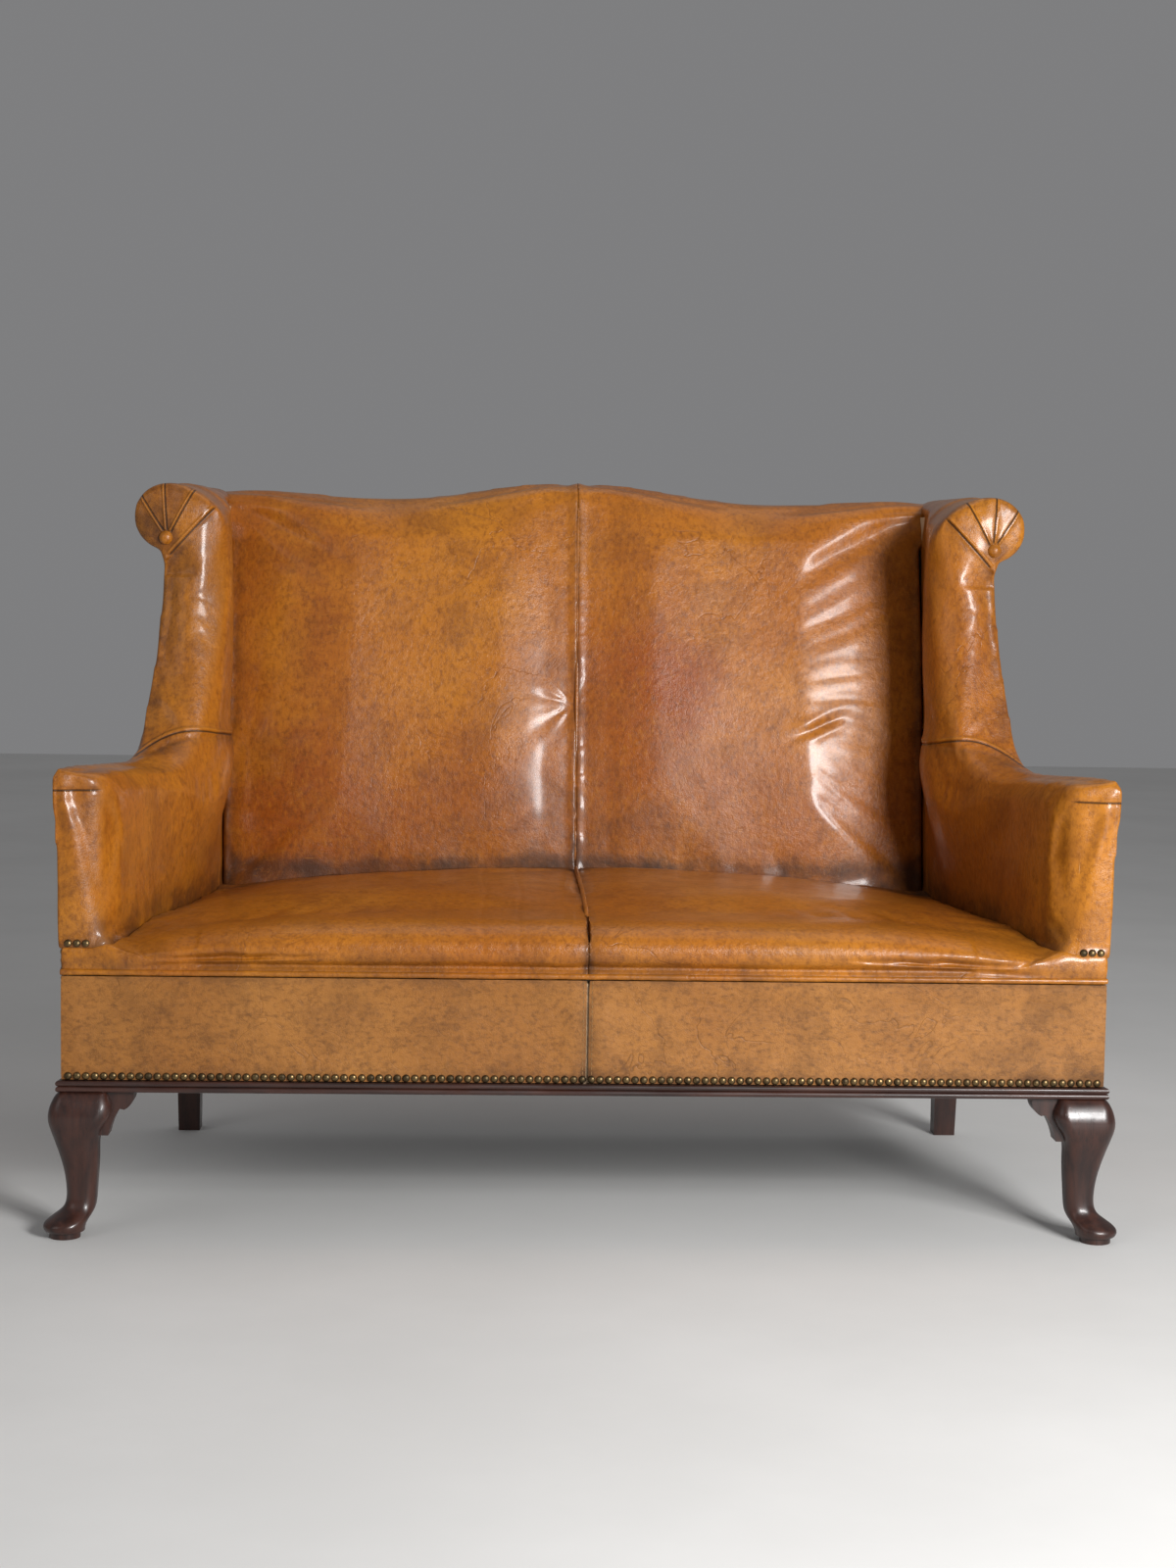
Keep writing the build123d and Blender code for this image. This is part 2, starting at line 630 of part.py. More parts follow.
def back_section(x, drawn_in, dropped):
    """Section of the back cover in depth and height at distance x from the centre."""
    top = camel(x) - dropped
    knuckle = top - BACK_ROLL
    rail_top = camel(x) - BACK_CAP
    first = (back_face(BACK_BOTTOM) + drawn_in, BACK_BOTTOM)
    second = (back_face(knuckle) + drawn_in, knuckle)
    middle = ((first[0] + second[0]) / 2 - BACK_SWELL, (first[1] + second[1]) / 2)
    rear = frame_rear(rail_top)
    crest = ((second[0] + rear) / 2 + BACK_ROLL * 0.15, top)
    shoulder = (second[0] + (crest[0] - second[0]) * 0.28, knuckle + BACK_ROLL * 0.72)
    last = (rear + BACK_COVER, rail_top)
    nape = (crest[0] + (last[0] - crest[0]) * 0.78, rail_top + (top - rail_top) * 0.62)
    rail_front = rear - BACK_RAIL - WEB_THICK
    heel = frame_rear(BACK_BOTTOM) - BACK_RAIL - WEB_THICK
    face = make_face(
        [
            ThreePointArc(first, middle, second),
            ThreePointArc(second, shoulder, crest),
            ThreePointArc(crest, nape, last),
            Line(last, (rail_front, rail_top)),
            Line((rail_front, rail_top), (heel, BACK_BOTTOM)),
            Line((heel, BACK_BOTTOM), first),
        ]
    )
    return Plane.YZ.offset(x) * face


def back_cover(inner_pieces):
    """Right-hand half of the back, drawn in at the centre seam and at the wing."""
    inner = SEAM / 2
    stations = (
        (inner, SEAM_DEPTH, SEAM_DEPTH * 0.4),
        (inner + SEAM_DEPTH * 4, SEAM_DEPTH * 0.12, 0.0),
        (BACK_HALF * 0.32, 0.0, 0.0),
        (BACK_HALF * 0.6, 0.0, 0.0),
        (BACK_HALF - EDGE_DEPTH * 1.9, EDGE_DEPTH * 0.1, 0.0),
        (BACK_HALF, EDGE_DEPTH, EDGE_DEPTH * 0.2),
    )
    return loft([back_section(*station) for station in stations]) - inner_pieces


def back_webbing():
    """Straps tacked to the front of the back rails."""
    low = LOW_RAIL_BOTTOM + WEB_THICK
    high = BACK_DIP - BACK_CAP - WEB_THICK
    skin = polygon(
        [
            (frame_rear(low) - BACK_RAIL - WEB_THICK, low),
            (frame_rear(low) - BACK_RAIL, low),
            (frame_rear(high) - BACK_RAIL, high),
            (frame_rear(high) - BACK_RAIL - WEB_THICK, high),
        ]
    )
    pitch = (WEB_STRAP + WEB_GAP) * 2
    count = int((BACK_HALF - WEB_STRAP) // pitch)
    straps = []
    for index in range(-count, count + 1):
        middle = index * pitch
        straps.append(across(skin, middle - WEB_STRAP / 2, middle + WEB_STRAP / 2))
    return straps


# Leather covers of the arms and wings
def outside_outline():
    """Side view of the outside cover: arm, sweep and wing."""
    front = ARM_PAD / 2
    top = ARM_TOP - ARM_PAD
    sweep_points = wing_pocket_edge()
    rear_top = (frame_rear(WING_TOP), WING_TOP)
    return make_face(
        [
            Line((front, MOULDING_TOP), (front, top)),
            Line((front, top), (ARM_FLAT, top)),
            TangentArc((ARM_FLAT, top), sweep_points[0], tangent=(1, 0)),
            Spline(*sweep_points),
            Line(sweep_points[-1], rear_top),
            Line(rear_top, (FRAME_BACK, RAIL_TOP)),
            Line((FRAME_BACK, RAIL_TOP), (FRAME_BACK, MOULDING_TOP)),
            Line((FRAME_BACK, MOULDING_TOP), (front, MOULDING_TOP)),
        ]
    )


def arm_bolster(outline):
    """Inside of the arm where it swells out under the front roll of the wing."""
    turn = WING_CORNER * (1 - cos(pi / 4))
    front = wing_front(WING_SEAM)
    sections = []
    for share in (0.0, 0.2, 0.45, 0.7, 1.0):
        z = BOLSTER_LOW + (WING_SEAM - BOLSTER_LOW) * share
        swell = 1 - (1 - share) ** 2.5
        beside = back_face(z) - BACK_SWELL - SOFT_CLEAR
        roll = [(WING_INNER + turn * 1.2, front + turn), (WING_INNER, front + WING_CORNER)]
        roll.append(((WING_INNER + INNER_REAR) / 2, (front + WING_CORNER + beside) / 2))
        ends = [(arm_inner(BOLSTER_FRONT) + BOLSTER_SINK, BOLSTER_FRONT)]
        ends.append((INNER_REAR + BOLSTER_SINK, beside))
        curve = [ends[0]]
        for x, y in roll:
            sunk = arm_inner(y) + BOLSTER_SINK
            curve.append((sunk + (x - sunk) * swell, y))
        curve.append(ends[1])
        back = [(x + SIDE_FRAME / 2, y) for x, y in ends]
        face = make_face([Spline(*curve), Polyline(ends[1], back[1], back[0], ends[0])])
        sections.append(Pos(0, 0, z) * face)
    return loft(sections) & side_prism(outline)


def arm_cover(pocket):
    """Right-hand arm: inside, rolled top and front in one padded cover."""
    low = EAR_TOP + CLEAR
    top_rear = (post_front(WING_SEAM) - CLEAR, WING_SEAM)
    low_rear = (post_front(low) - CLEAR, low)
    joint = (wing_front(WING_SEAM), WING_SEAM)
    outline = make_face(
        [
            Line((0, low), (0, ARM_TOP)),
            Line((0, ARM_TOP), (ARM_FLAT, ARM_TOP)),
            TangentArc((ARM_FLAT, ARM_TOP), joint, tangent=(1, 0)),
            Line(joint, top_rear),
            Line(top_rear, low_rear),
            Line(low_rear, (0, low)),
        ]
    )
    beyond = HALF + SIDE_FRAME * 2
    plan = polygon(
        [
            (beyond, 0),
            (arm_inner(0), 0),
            (INNER_REAR, SEAT_DEPTH),
            (INNER_REAR, BASE_DEPTH * 1.3),
            (beyond, BASE_DEPTH * 1.3),
        ]
    )
    corner = plan.vertices().sort_by_distance((arm_inner(0), 0, 0))[0]
    plan = fillet(corner, ARM_CORNER)
    form = side_slab(-ARM_PROUD, HALF) & side_prism(outline) & extrude(plan, BACK_HUMP)
    crest = []
    for edge in form.edges():
        high = min(vertex.Z for vertex in edge.vertices()) > ARM_TOP - CLEAR
        ahead = edge.center().Y < joint[0] - CLEAR
        at_sweep = abs(edge.center().Y - ARM_FLAT) < CLEAR and edge.bounding_box().size.Y < CLEAR
        if high and ahead and not at_sweep:
            crest.append(edge)
    form = fillet(crest, ARM_PAD * 0.8) + arm_bolster(outline)
    return form - pocket


def wing_section(z, rear, fall, overhang):
    """Plan of the wing at height z, with its rolled front edge, and swelling above the arm."""
    swell = min(1.0, max(0.0, (z - WING_SEAM) / WING_SWEEP))
    front = wing_front(z) - SIDE_COVER * swell
    fall = fall * swell + CLEAR
    beside = back_face(z) - BACK_SWELL - SOFT_CLEAR
    turn = WING_CORNER * (1 - cos(pi / 4))
    outer = (side_out(front, z) + overhang, front + fall)
    rear_outer = (side_out(rear, z) + overhang, rear)
    start = (WING_INNER + WING_CORNER, front)
    end = (WING_INNER, front + WING_CORNER)
    brow = ((outer[0] + start[0]) / 2, front + fall * 0.22)
    face = make_face(
        [
            ThreePointArc(outer, brow, start),
            ThreePointArc(start, (WING_INNER + turn, front + turn), end),
            Line(end, (INNER_REAR, beside)),
            Line((INNER_REAR, beside), (INNER_REAR, rear)),
            Line((INNER_REAR, rear), rear_outer),
            Line(rear_outer, outer),
        ]
    )
    return Pos(0, 0, z) * face


def wing_cover(pocket):
    """Right-hand wing between the arm and the scroll."""
    low = WING_SEAM + CLEAR
    levels = [low + (WING_TOP - low) * share for share in (0.0, 0.25, 0.5, 0.75, 1.0)]
    sections = [wing_section(z, post_front(z) - CLEAR, WING_FALL, 0.0) for z in levels]
    return loft(sections) - pocket


def scroll_section(y, radius, height):
    """Section of the rolled top, curling outwards over its block."""
    inner = WING_INNER - SIDE_COVER + SCROLL_RADIUS - radius
    x = side_out(y, SCROLL_HEIGHT)
    foot = (side_out(y, WING_TOP), WING_TOP)
    under = (x + radius * cos(radians(-80)), height + radius * sin(radians(-80)))
    top = (x, height + radius)
    fall = (inner, top[1] - (x - inner))
    heel = (inner, WING_TOP)
    face = make_face(
        [
            Line(foot, under),
            ThreePointArc(under, (x + radius, height), top),
            TangentArc(top, fall, tangent=(-1, 0)),
            Line(fall, heel),
            Line(heel, foot),
        ]
    )
    return Plane.XZ.offset(-y) * face


def scroll_front():
    return wing_front(WING_TOP) - SIDE_COVER


def scroll_button_place():
    y = scroll_front()
    return Vector(side_out(y, SCROLL_HEIGHT), y, SCROLL_HEIGHT - BUTTON_DROP)


def scroll_cover(inner_pieces):
    """Right-hand scroll with the fan of pleats gathered to its button."""
    front = scroll_front()
    rear = frame_rear(SCROLL_HEIGHT)
    sections = []
    for share in (0.0, 0.3, 0.65, 1.0):
        drawn_in = SCROLL_EDGE * (1 - sqrt(1 - (1 - share) ** 2))
        y = front + SCROLL_EDGE * share
        radius = SCROLL_RADIUS - drawn_in
        sections.append(scroll_section(y, radius, SCROLL_HEIGHT))
    sections.append(scroll_section(rear, SCROLL_RADIUS_REAR, SCROLL_HEIGHT + SCROLL_RISE))
    plan = wing_section(WING_TOP, rear, 0.0, SCROLL_RADIUS * 2)
    roll = loft(sections, ruled=True) & extrude(plan, BACK_HUMP - WING_TOP)
    reach = SCROLL_RADIUS + BUTTON_DROP
    for angle in PLEAT_ANGLES:
        towards = Vector(cos(radians(angle)), 0, sin(radians(angle)))
        along = Plane(scroll_button_place(), z_dir=towards)
        roll -= along * Pos(0, 0, reach / 2) * Cone(PLEAT_DEPTH * 0.3, PLEAT_DEPTH, reach)
    for piece in inner_pieces:
        roll -= piece
    return roll


def dome(diameter, height):
    """Low dome that faces the front, with its flat back at Y = 0."""
    radius = diameter / 2
    ball = (radius**2 + height**2) / (2 * height)
    front_half = Pos(0, -ball, 0) * Box(4 * ball, 2 * ball, 4 * ball)
    return Pos(0, ball - height, 0) * Sphere(ball) & front_half


def scroll_button():
    return Pos(*scroll_button_place()) * dome(BUTTON_DIAMETER, BUTTON_HEIGHT)


def outside_back():
    """Outside back cover, from the rear rail up to the camel line."""
    strip = polygon(
        [
            (FRAME_BACK, RAIL_BOTTOM),
            (BASE_DEPTH, RAIL_BOTTOM),
            (BASE_DEPTH, RAIL_TOP),
            (frame_rear(BACK_HUMP) + BACK_COVER, BACK_HUMP),
            (frame_rear(BACK_HUMP), BACK_HUMP),
            (FRAME_BACK, RAIL_TOP),
        ]
    )
    foot = side_out(FRAME_BACK, RAIL_TOP)
    head = side_out(frame_rear(WING_TOP), WING_TOP)
    inner = BACK_HALF
    steps = 12
    crest = []
    for step in range(-steps, steps + 1):
        x = inner * step / steps
        crest.append((x, camel(x) - BACK_CAP - SOFT_CLEAR))
    right = [crest[-1], (inner, WING_TOP), (head, WING_TOP), (foot, RAIL_TOP), (foot, RAIL_BOTTOM)]
    left = [(-x, z) for x, z in reversed(right)]
    outline = make_face([Spline(*crest), Polyline(*right, *left)])
    return across(strip, -HALF, HALF) & extrude(Plane.XZ * outline, -BASE_DEPTH * 2)


# Seat border, welts and nails
def seat_border():
    """Right-hand half of the front border, turned round the corner."""
    notch = ARM_PAD / 2
    plan = [
        (SEAM / 2, 0),
        (side_out(0, RAIL_TOP), 0),
        (side_out(notch, RAIL_TOP), notch),
        (side_out(notch, RAIL_TOP) - SIDE_COVER, notch),
        (side_out(notch, RAIL_TOP) - SIDE_COVER, FRONT_COVER),
        (SEAM / 2, FRONT_COVER),
    ]
    return plan_prism(plan, MOULDING_TOP, BORDER_TOP)


def front_welt():
    rod = Rot(0, 90, 0) * Cylinder(WELT / 2, 2 * HALF)
    return Pos(0, WELT / 8, WELT_HEIGHT) * rod


def piping(path):
    section = Plane(path @ 0, z_dir=path % 0) * Circle(WELT * 0.4)
    return sweep(section, path=path)


def back_welt():
    drawn = SEAM_DEPTH - WELT * 0.3
    top = camel(0) - SEAM_DEPTH * 0.4 - BACK_ROLL
    low = SEAT_CROWN + WELT
    first = (0, back_face(low) + drawn - BACK_SWELL * 0.28, low)
    second = (0, back_face(top) + drawn, top)
    middle_z = (BACK_BOTTOM + top) / 2
    middle = (0, back_face(middle_z) + drawn - BACK_SWELL, middle_z)
    return piping(ThreePointArc(first, middle, second))


def seat_welt():
    points = []
    for y in (WELT, SEAT_DEPTH * 0.09, SEAT_DEPTH * 0.24, SEAT_DEPTH * 0.5, SEAT_DEPTH - WELT):
        points.append((0, y, seat_line(y)[0]))
    return piping(FilletPolyline(*points, radius=SEAT_NOSE))


def front_nails():
    span = 2 * HALF - 2 * NAIL_DIAMETER
    count = ceil(span / NAIL_PITCH)
    head = dome(NAIL_DIAMETER, NAIL_HEIGHT)
    heads = []
    for index in range(count + 1):
        x = -span / 2 + span * index / count
        heads.append(Pos(x, 0, MOULDING_TOP + NAIL_RISE) * head)
    return heads


def stop_nails():
    head = dome(NAIL_DIAMETER, NAIL_HEIGHT)
    heads = []
    for index in range(STOP_NAILS):
        x = HALF - NAIL_DIAMETER - index * NAIL_PITCH
        for side in (-1, 1):
            heads.append(Pos(side * x, 0, EAR_TOP + CLEAR + NAIL_RISE) * head)
    return heads


def build_settee():
    """Every piece by its name, in the place it has on the settee."""
    pieces = {}

    def pair(name, right):
        pieces["right_" + name] = right
        pieces["left_" + name] = mirrored(right)

    dowels = rail_dowels()
    leg = front_leg()
    post = upright()
    arm_post, arm_rail, tacking_rail = arm_frame()
    wing_post, scroll_block = wing_frame()
    top_rail, lower_rail, stile = back_frame()
    front_rail, rear_rail, side_rail, centre_rail = seat_rails(dowels)
    front_strip, side_strip = mouldings()
    pocket = side_slab(-SIDE_FRAME, SIDE_COVER + SIDE_FRAME) & side_prism(outside_outline())
    outside = side_slab(0, SIDE_COVER) & side_prism(outside_outline())

    pair("front_leg", leg - dowels)
    front_ear, side_ear = knee_ears(leg)
    pair("front_knee_bracket", front_ear)
    pair("side_knee_bracket", side_ear)
    pair("rear_leg", post - dowels)
    pieces["front_moulding"] = front_strip
    pair("moulding", side_strip)

    pieces["front_rail"] = front_rail
    pieces["rear_rail"] = rear_rail
    pair("seat_rail", side_rail)
    pieces["centre_rail"] = centre_rail
    pieces["corner_blocks"] = corner_blocks()
    pieces["rail_dowels"] = dowels
    pair("arm_post", arm_post)
    pair("arm_rail", arm_rail)
    pair("tacking_rail", tacking_rail)
    pair("wing_post", wing_post)
    pair("scroll_block", scroll_block)
    pieces["top_back_rail"] = top_rail
    pieces["lower_back_rail"] = lower_rail
    pieces["back_stile"] = stile

    both_posts = [arm_post, mirrored(arm_post)]
    pieces["seat_webbing"] = seat_webbing()
    pieces["seat_springs"] = seat_springs()
    hessian_rear = FRAME_BACK - POST_DEPTH - CLEAR
    hessian_plan = seat_plan(FRONT_COVER + CLEAR, hessian_rear, SIDE_COVER + SOFT_CLEAR)
    pieces["spring_hessian"] = plan_prism(hessian_plan, RAIL_TOP, SEAT_BASE) - both_posts
    lap = RAIL_THICK / 2
    dust_plan = seat_plan(FRONT_COVER + lap, FRAME_BACK - lap, SIDE_COVER + lap)
    legs = [leg, mirrored(leg), post, mirrored(post)]
    pieces["dust_cover"] = plan_prism(dust_plan, LEG_HEIGHT + CLEAR, LEG_HEIGHT + WEB_THICK) - legs
    stuffing = seat_stuffing()
    pieces["seat_stuffing"] = stuffing
    pieces["back_webbing"] = back_webbing()

    seat_seam = seat_welt()
    back_seam = back_welt()
    arm = arm_cover(pocket)
    pair("seat_cover", seat_cover([stuffing, arm_post, arm, seat_seam]))
    pair("back_cover", back_cover([top_rail, back_seam, post, scroll_block]))
    pair("seat_border", seat_border())
    pieces["seat_centre_welt"] = seat_seam
    pieces["back_centre_welt"] = back_seam
    pieces["seat_front_welt"] = front_welt()
    pair("arm_cover", arm)
    pair("wing_cover", wing_cover(pocket))
    pair("scroll", scroll_cover([wing_post, scroll_block, post, top_rail]))
    pair("scroll_button", scroll_button())
    pair("outside_cover", outside)
    pieces["outside_back"] = outside_back()
    pieces["front_nails"] = front_nails()
    pieces["arm_stop_nails"] = stop_nails()
    return pieces


pieces = build_settee()
groups = {}
for name, piece in pieces.items():
    groups[name] = Compound(piece) if isinstance(piece, list) else piece
whole = Compound(list(groups.values())).bounding_box()
centred = Pos(-(whole.min.X + whole.max.X) / 2, -(whole.min.Y + whole.max.Y) / 2, -whole.min.Z)
os.makedirs("parts", exist_ok=True)
for name, piece in groups.items():
    export_step(centred * piece, f"parts/{name}.step")
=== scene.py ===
import json
import math

import bpy
import numpy as np
from mathutils import Matrix, Vector, noise


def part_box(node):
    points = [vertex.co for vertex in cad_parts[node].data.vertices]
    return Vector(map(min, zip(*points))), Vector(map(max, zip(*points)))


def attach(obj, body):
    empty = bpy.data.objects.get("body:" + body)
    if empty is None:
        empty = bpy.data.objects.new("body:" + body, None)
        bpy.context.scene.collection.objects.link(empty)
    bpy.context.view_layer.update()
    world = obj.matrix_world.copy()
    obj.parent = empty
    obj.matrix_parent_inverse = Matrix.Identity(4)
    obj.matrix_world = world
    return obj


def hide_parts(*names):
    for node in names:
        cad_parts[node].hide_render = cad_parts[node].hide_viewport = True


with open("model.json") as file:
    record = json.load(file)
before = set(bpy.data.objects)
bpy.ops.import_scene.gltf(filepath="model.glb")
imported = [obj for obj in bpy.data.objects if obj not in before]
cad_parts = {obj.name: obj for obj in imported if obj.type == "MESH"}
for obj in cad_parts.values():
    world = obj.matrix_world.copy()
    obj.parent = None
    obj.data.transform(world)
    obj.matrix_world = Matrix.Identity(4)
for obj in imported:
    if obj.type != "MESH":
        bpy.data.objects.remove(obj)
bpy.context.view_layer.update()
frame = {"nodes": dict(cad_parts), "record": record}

# Two-seat wing settee in old tan leather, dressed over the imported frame. Metres.
# Depths are counted from the front border, which stands at Y = FRONT.
FRONT = -0.35057
HALF = 0.675
BASE_DEPTH = 0.643
FRAME_BACK = 0.638
SIDE_TAPER = math.tan(math.radians(6.1))
SIDE_LEAN = math.tan(math.radians(3.4))
BACK_RAKE = math.tan(math.radians(7.0))
ARM_FLARE = 0.022
FLARE_LENGTH = 0.330
MOULDING_TOP = 0.205
RAIL_BOTTOM = 0.1975
RAIL_TOP = 0.335
SEAT_BOTTOM = 0.349
SEAT_REAR = 0.505
EAR_TOP = 0.376
ARM_TOP = 0.610
ARM_PAD = 0.024
ARM_FLAT = 0.262
ARM_INSIDE = 0.615  # face of the arm beside the seat, at the front
ARM_TAPER = 0.1657
FRAME_DEEP = 0.046  # side frame with its outside cover
SIDE_EDGE = 0.012  # front edge of the outside covers
BACK_COVER = 0.005
HIDE = 0.003  # thickness of a stretched panel
WING_SEAM = 0.638
WING_START = 0.330
WING_SWEEP = 0.092
WING_TOP = 0.880
SCROLL_HEIGHT = 0.934
BUTTON_DROP = 0.030
PLEAT_ANGLES = (57.0, 86.0, 118.0)
BACK_HALF = 0.5275
OVERRUN = 0.03
SEAM_GAP = 0.0003
WELT_LAP = 0.004  # seat leather tucked behind the welt
ARCH_PEAK = (0.547, 0.633)
ARCH_BEND = 5.9
CAP_FOLD = ARM_TOP - 0.033
FAN_HEM = (0.531, 0.943)
HEM_NORMAL = (0.7356, 0.678)
NAIL_RADIUS = 0.0051
NAIL_PITCH = 0.0113
NAIL_INSET = 0.0065
NAIL_TILT = 0.05
NAIL_LEVEL = MOULDING_TOP + 0.006
NAIL_END = HALF - 0.0102  # last nail of a front row

SEAT_VOXEL = 0.0065
SIDE_VOXEL = 0.006
CLOTH_FRAMES = 20
SMOOTHING = 0.5
SIDES = ((1, "right"), (-1, "left"))


def ease(low, high, value):
    """Smooth step from 0 at low to 1 at high, for numbers or arrays."""
    share = np.clip((value - low) / (high - low), 0.0, 1.0)
    return share * share * (3.0 - 2.0 * share)


def bell(distance, width):
    return np.exp(-(distance / width) ** 2)


def side_out(y, z):
    """Outside face of the right-hand side, as in the frame."""
    rise = np.maximum(0.0, z - RAIL_TOP)
    flare = ARM_FLARE * np.maximum(0.0, 1.0 - y / FLARE_LENGTH)
    flare = flare * np.minimum(1.0, rise / (ARM_TOP - RAIL_TOP))
    return HALF - y * SIDE_TAPER - rise * SIDE_LEAN + flare


def wing_front(z):
    share = (z - ARM_TOP) / (WING_TOP - ARM_TOP)
    return WING_START + WING_SWEEP * (1.0 - (1.0 - share) ** 2)


def frame_rear(z):
    return FRAME_BACK + np.maximum(0.0, z - RAIL_TOP) * BACK_RAKE


SCROLL_FRONT = wing_front(WING_TOP) - 0.005
BUTTON = (side_out(SCROLL_FRONT, SCROLL_HEIGHT), SCROLL_HEIGHT - BUTTON_DROP)


# Working on meshes
def choose(*pieces):
    bpy.ops.object.select_all(action="DESELECT")
    for piece in pieces:
        piece.select_set(True)
    bpy.context.view_layer.objects.active = pieces[0]


def edit(piece):
    choose(piece)
    bpy.ops.object.mode_set(mode="EDIT")
    bpy.ops.mesh.select_all(action="SELECT")


def done():
    bpy.ops.object.mode_set(mode="OBJECT")


def copy_of(name, *nodes):
    """The meshes of some CAD nodes in one new piece, with their corners merged."""
    copies = []
    for node in nodes:
        copy = bpy.data.objects.new(name, frame["nodes"][node].data.copy())
        copy.data.materials.clear()
        bpy.context.scene.collection.objects.link(copy)
        copies.append(copy)
    choose(*copies)
    if len(copies) > 1:
        bpy.ops.object.join()
    piece = copies[0]
    piece.name = name
    piece.data.name = name
    edit(piece)
    bpy.ops.mesh.remove_doubles(threshold=0.00002)
    done()
    return piece


def points(piece):
    found = np.empty(len(piece.data.vertices) * 3)
    piece.data.vertices.foreach_get("co", found)
    return found.reshape(-1, 3)


def normals(piece):
    found = np.empty(len(piece.data.vertices) * 3)
    piece.data.vertex_normals.foreach_get("vector", found)
    return found.reshape(-1, 3)


def put(piece, places):
    piece.data.vertices.foreach_set("co", places.ravel())
    piece.data.update()


def ripple(places, scale, seed):
    """Smooth noise from -1 to 1 at each place."""
    shift = Vector((seed * 7.31, seed * 3.17, seed * 5.03))
    return np.array([noise.noise(Vector(p) * scale + shift) for p in places])


def push(piece, amount):
    """Move each vertex along its normal."""
    put(piece, points(piece) + normals(piece) * amount[:, None])


def apply_modifier(piece, name):
    choose(piece)
    bpy.ops.object.modifier_apply(modifier=name)


def placed(piece, side):
    """The vertices, and how far each is from the middle, from the front and from the floor."""
    places = points(piece)
    return places, places[:, 0] * side, places[:, 1] - FRONT, places[:, 2]


def smooth(piece, repeat, factor=SMOOTHING):
    edit(piece)
    bpy.ops.mesh.vertices_smooth(factor=factor, repeat=repeat)
    done()


def smooth_some(piece, chosen, repeat):
    edit(piece)
    bpy.ops.mesh.select_mode(type="VERT")
    bpy.ops.mesh.select_all(action="DESELECT")
    done()
    piece.data.vertices.foreach_set("select", chosen)
    bpy.ops.object.mode_set(mode="EDIT")
    bpy.ops.mesh.vertices_smooth(factor=SMOOTHING, repeat=repeat)
    done()


def soft_mesh(piece, voxel):
    piece.data.remesh_voxel_size = voxel
    choose(piece)
    bpy.ops.object.voxel_remesh()
    smooth(piece, 4)


def swell(piece, held, slack, pressure, cap):
    """Fill a pad by cloth pressure: it starts smaller by slack, and held points stay."""
    free = ~held
    push(piece, np.where(free, -slack, 0.0))
    before = points(piece)
    group = piece.vertex_groups.new(name="held")
    group.add([int(i) for i in np.nonzero(held)[0]], 1.0, "REPLACE")
    cloth = piece.modifiers.new("Cloth", "CLOTH")
    cloth.settings.quality = 4
    cloth.settings.mass = 0.4
    cloth.settings.tension_stiffness = 14.0
    cloth.settings.compression_stiffness = 14.0
    cloth.settings.shear_stiffness = 7.0
    cloth.settings.bending_stiffness = 0.8
    cloth.settings.use_pressure = True
    cloth.settings.uniform_pressure_force = pressure
    cloth.settings.vertex_group_mass = group.name
    cloth.settings.effector_weights.gravity = 0.0
    cloth.collision_settings.use_collision = False
    cloth.point_cache.frame_start = 1
    cloth.point_cache.frame_end = CLOTH_FRAMES
    for step in range(1, CLOTH_FRAMES + 1):
        bpy.context.scene.frame_set(step)
    apply_modifier(piece, "Cloth")
    bpy.context.scene.frame_set(1)
    move = points(piece) - before
    length = np.linalg.norm(move, axis=1)
    move *= (np.minimum(length, cap) / np.maximum(length, 1e-9))[:, None]
    put(piece, before + move)
    piece.vertex_groups.clear()


def refine(piece):
    level = piece.modifiers.new("Finer", "SUBSURF")
    level.levels = level.render_levels = 1
    apply_modifier(piece, "Finer")
    choose(piece)
    bpy.ops.object.shade_smooth()


def patina(piece, grime_and_shade, marks_and_light, red):
    """Grime and painted shade, wear and painted highlight, and reddening of the leather at each vertex.
    """
    layer = piece.data.color_attributes.new("patina", "FLOAT_COLOR", "POINT")
    values = np.ones((len(grime_and_shade), 4))
    values[:, 0] = np.clip(grime_and_shade, 0.0, 1.0)
    values[:, 1] = np.clip(marks_and_light, 0.0, 1.0)
    values[:, 2] = np.clip(red, 0.0, 1.0)
    layer.data.foreach_set("color", values.ravel())


def finish_piece(piece, material, slot, *nodes):
    piece.data.materials.clear()
    piece.data.materials.append(material)
    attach(piece, "root")
    if nodes:
        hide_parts(*nodes)


# Shader maths
class Value:
    """A socket that takes part in Python expressions."""

    def __init__(self, paint, socket):
        self.paint = paint
        self.socket = socket

    def maths(self, operation, first, second):
        return self.paint.node("ShaderNodeMath", {"operation": operation}, {0: first, 1: second})

    def __add__(self, other):
        return self.maths("ADD", self, other)

    def __radd__(self, other):
        return self.maths("ADD", other, self)

    def __sub__(self, other):
        return self.maths("SUBTRACT", self, other)

    def __rsub__(self, other):
        return self.maths("SUBTRACT", other, self)

    def __mul__(self, other):
        return self.maths("MULTIPLY", self, other)

    def __rmul__(self, other):
        return self.maths("MULTIPLY", other, self)

    def __pow__(self, other):
        return self.maths("POWER", self, other)

    def __abs__(self):
        return self.maths("ABSOLUTE", self, 0.0)


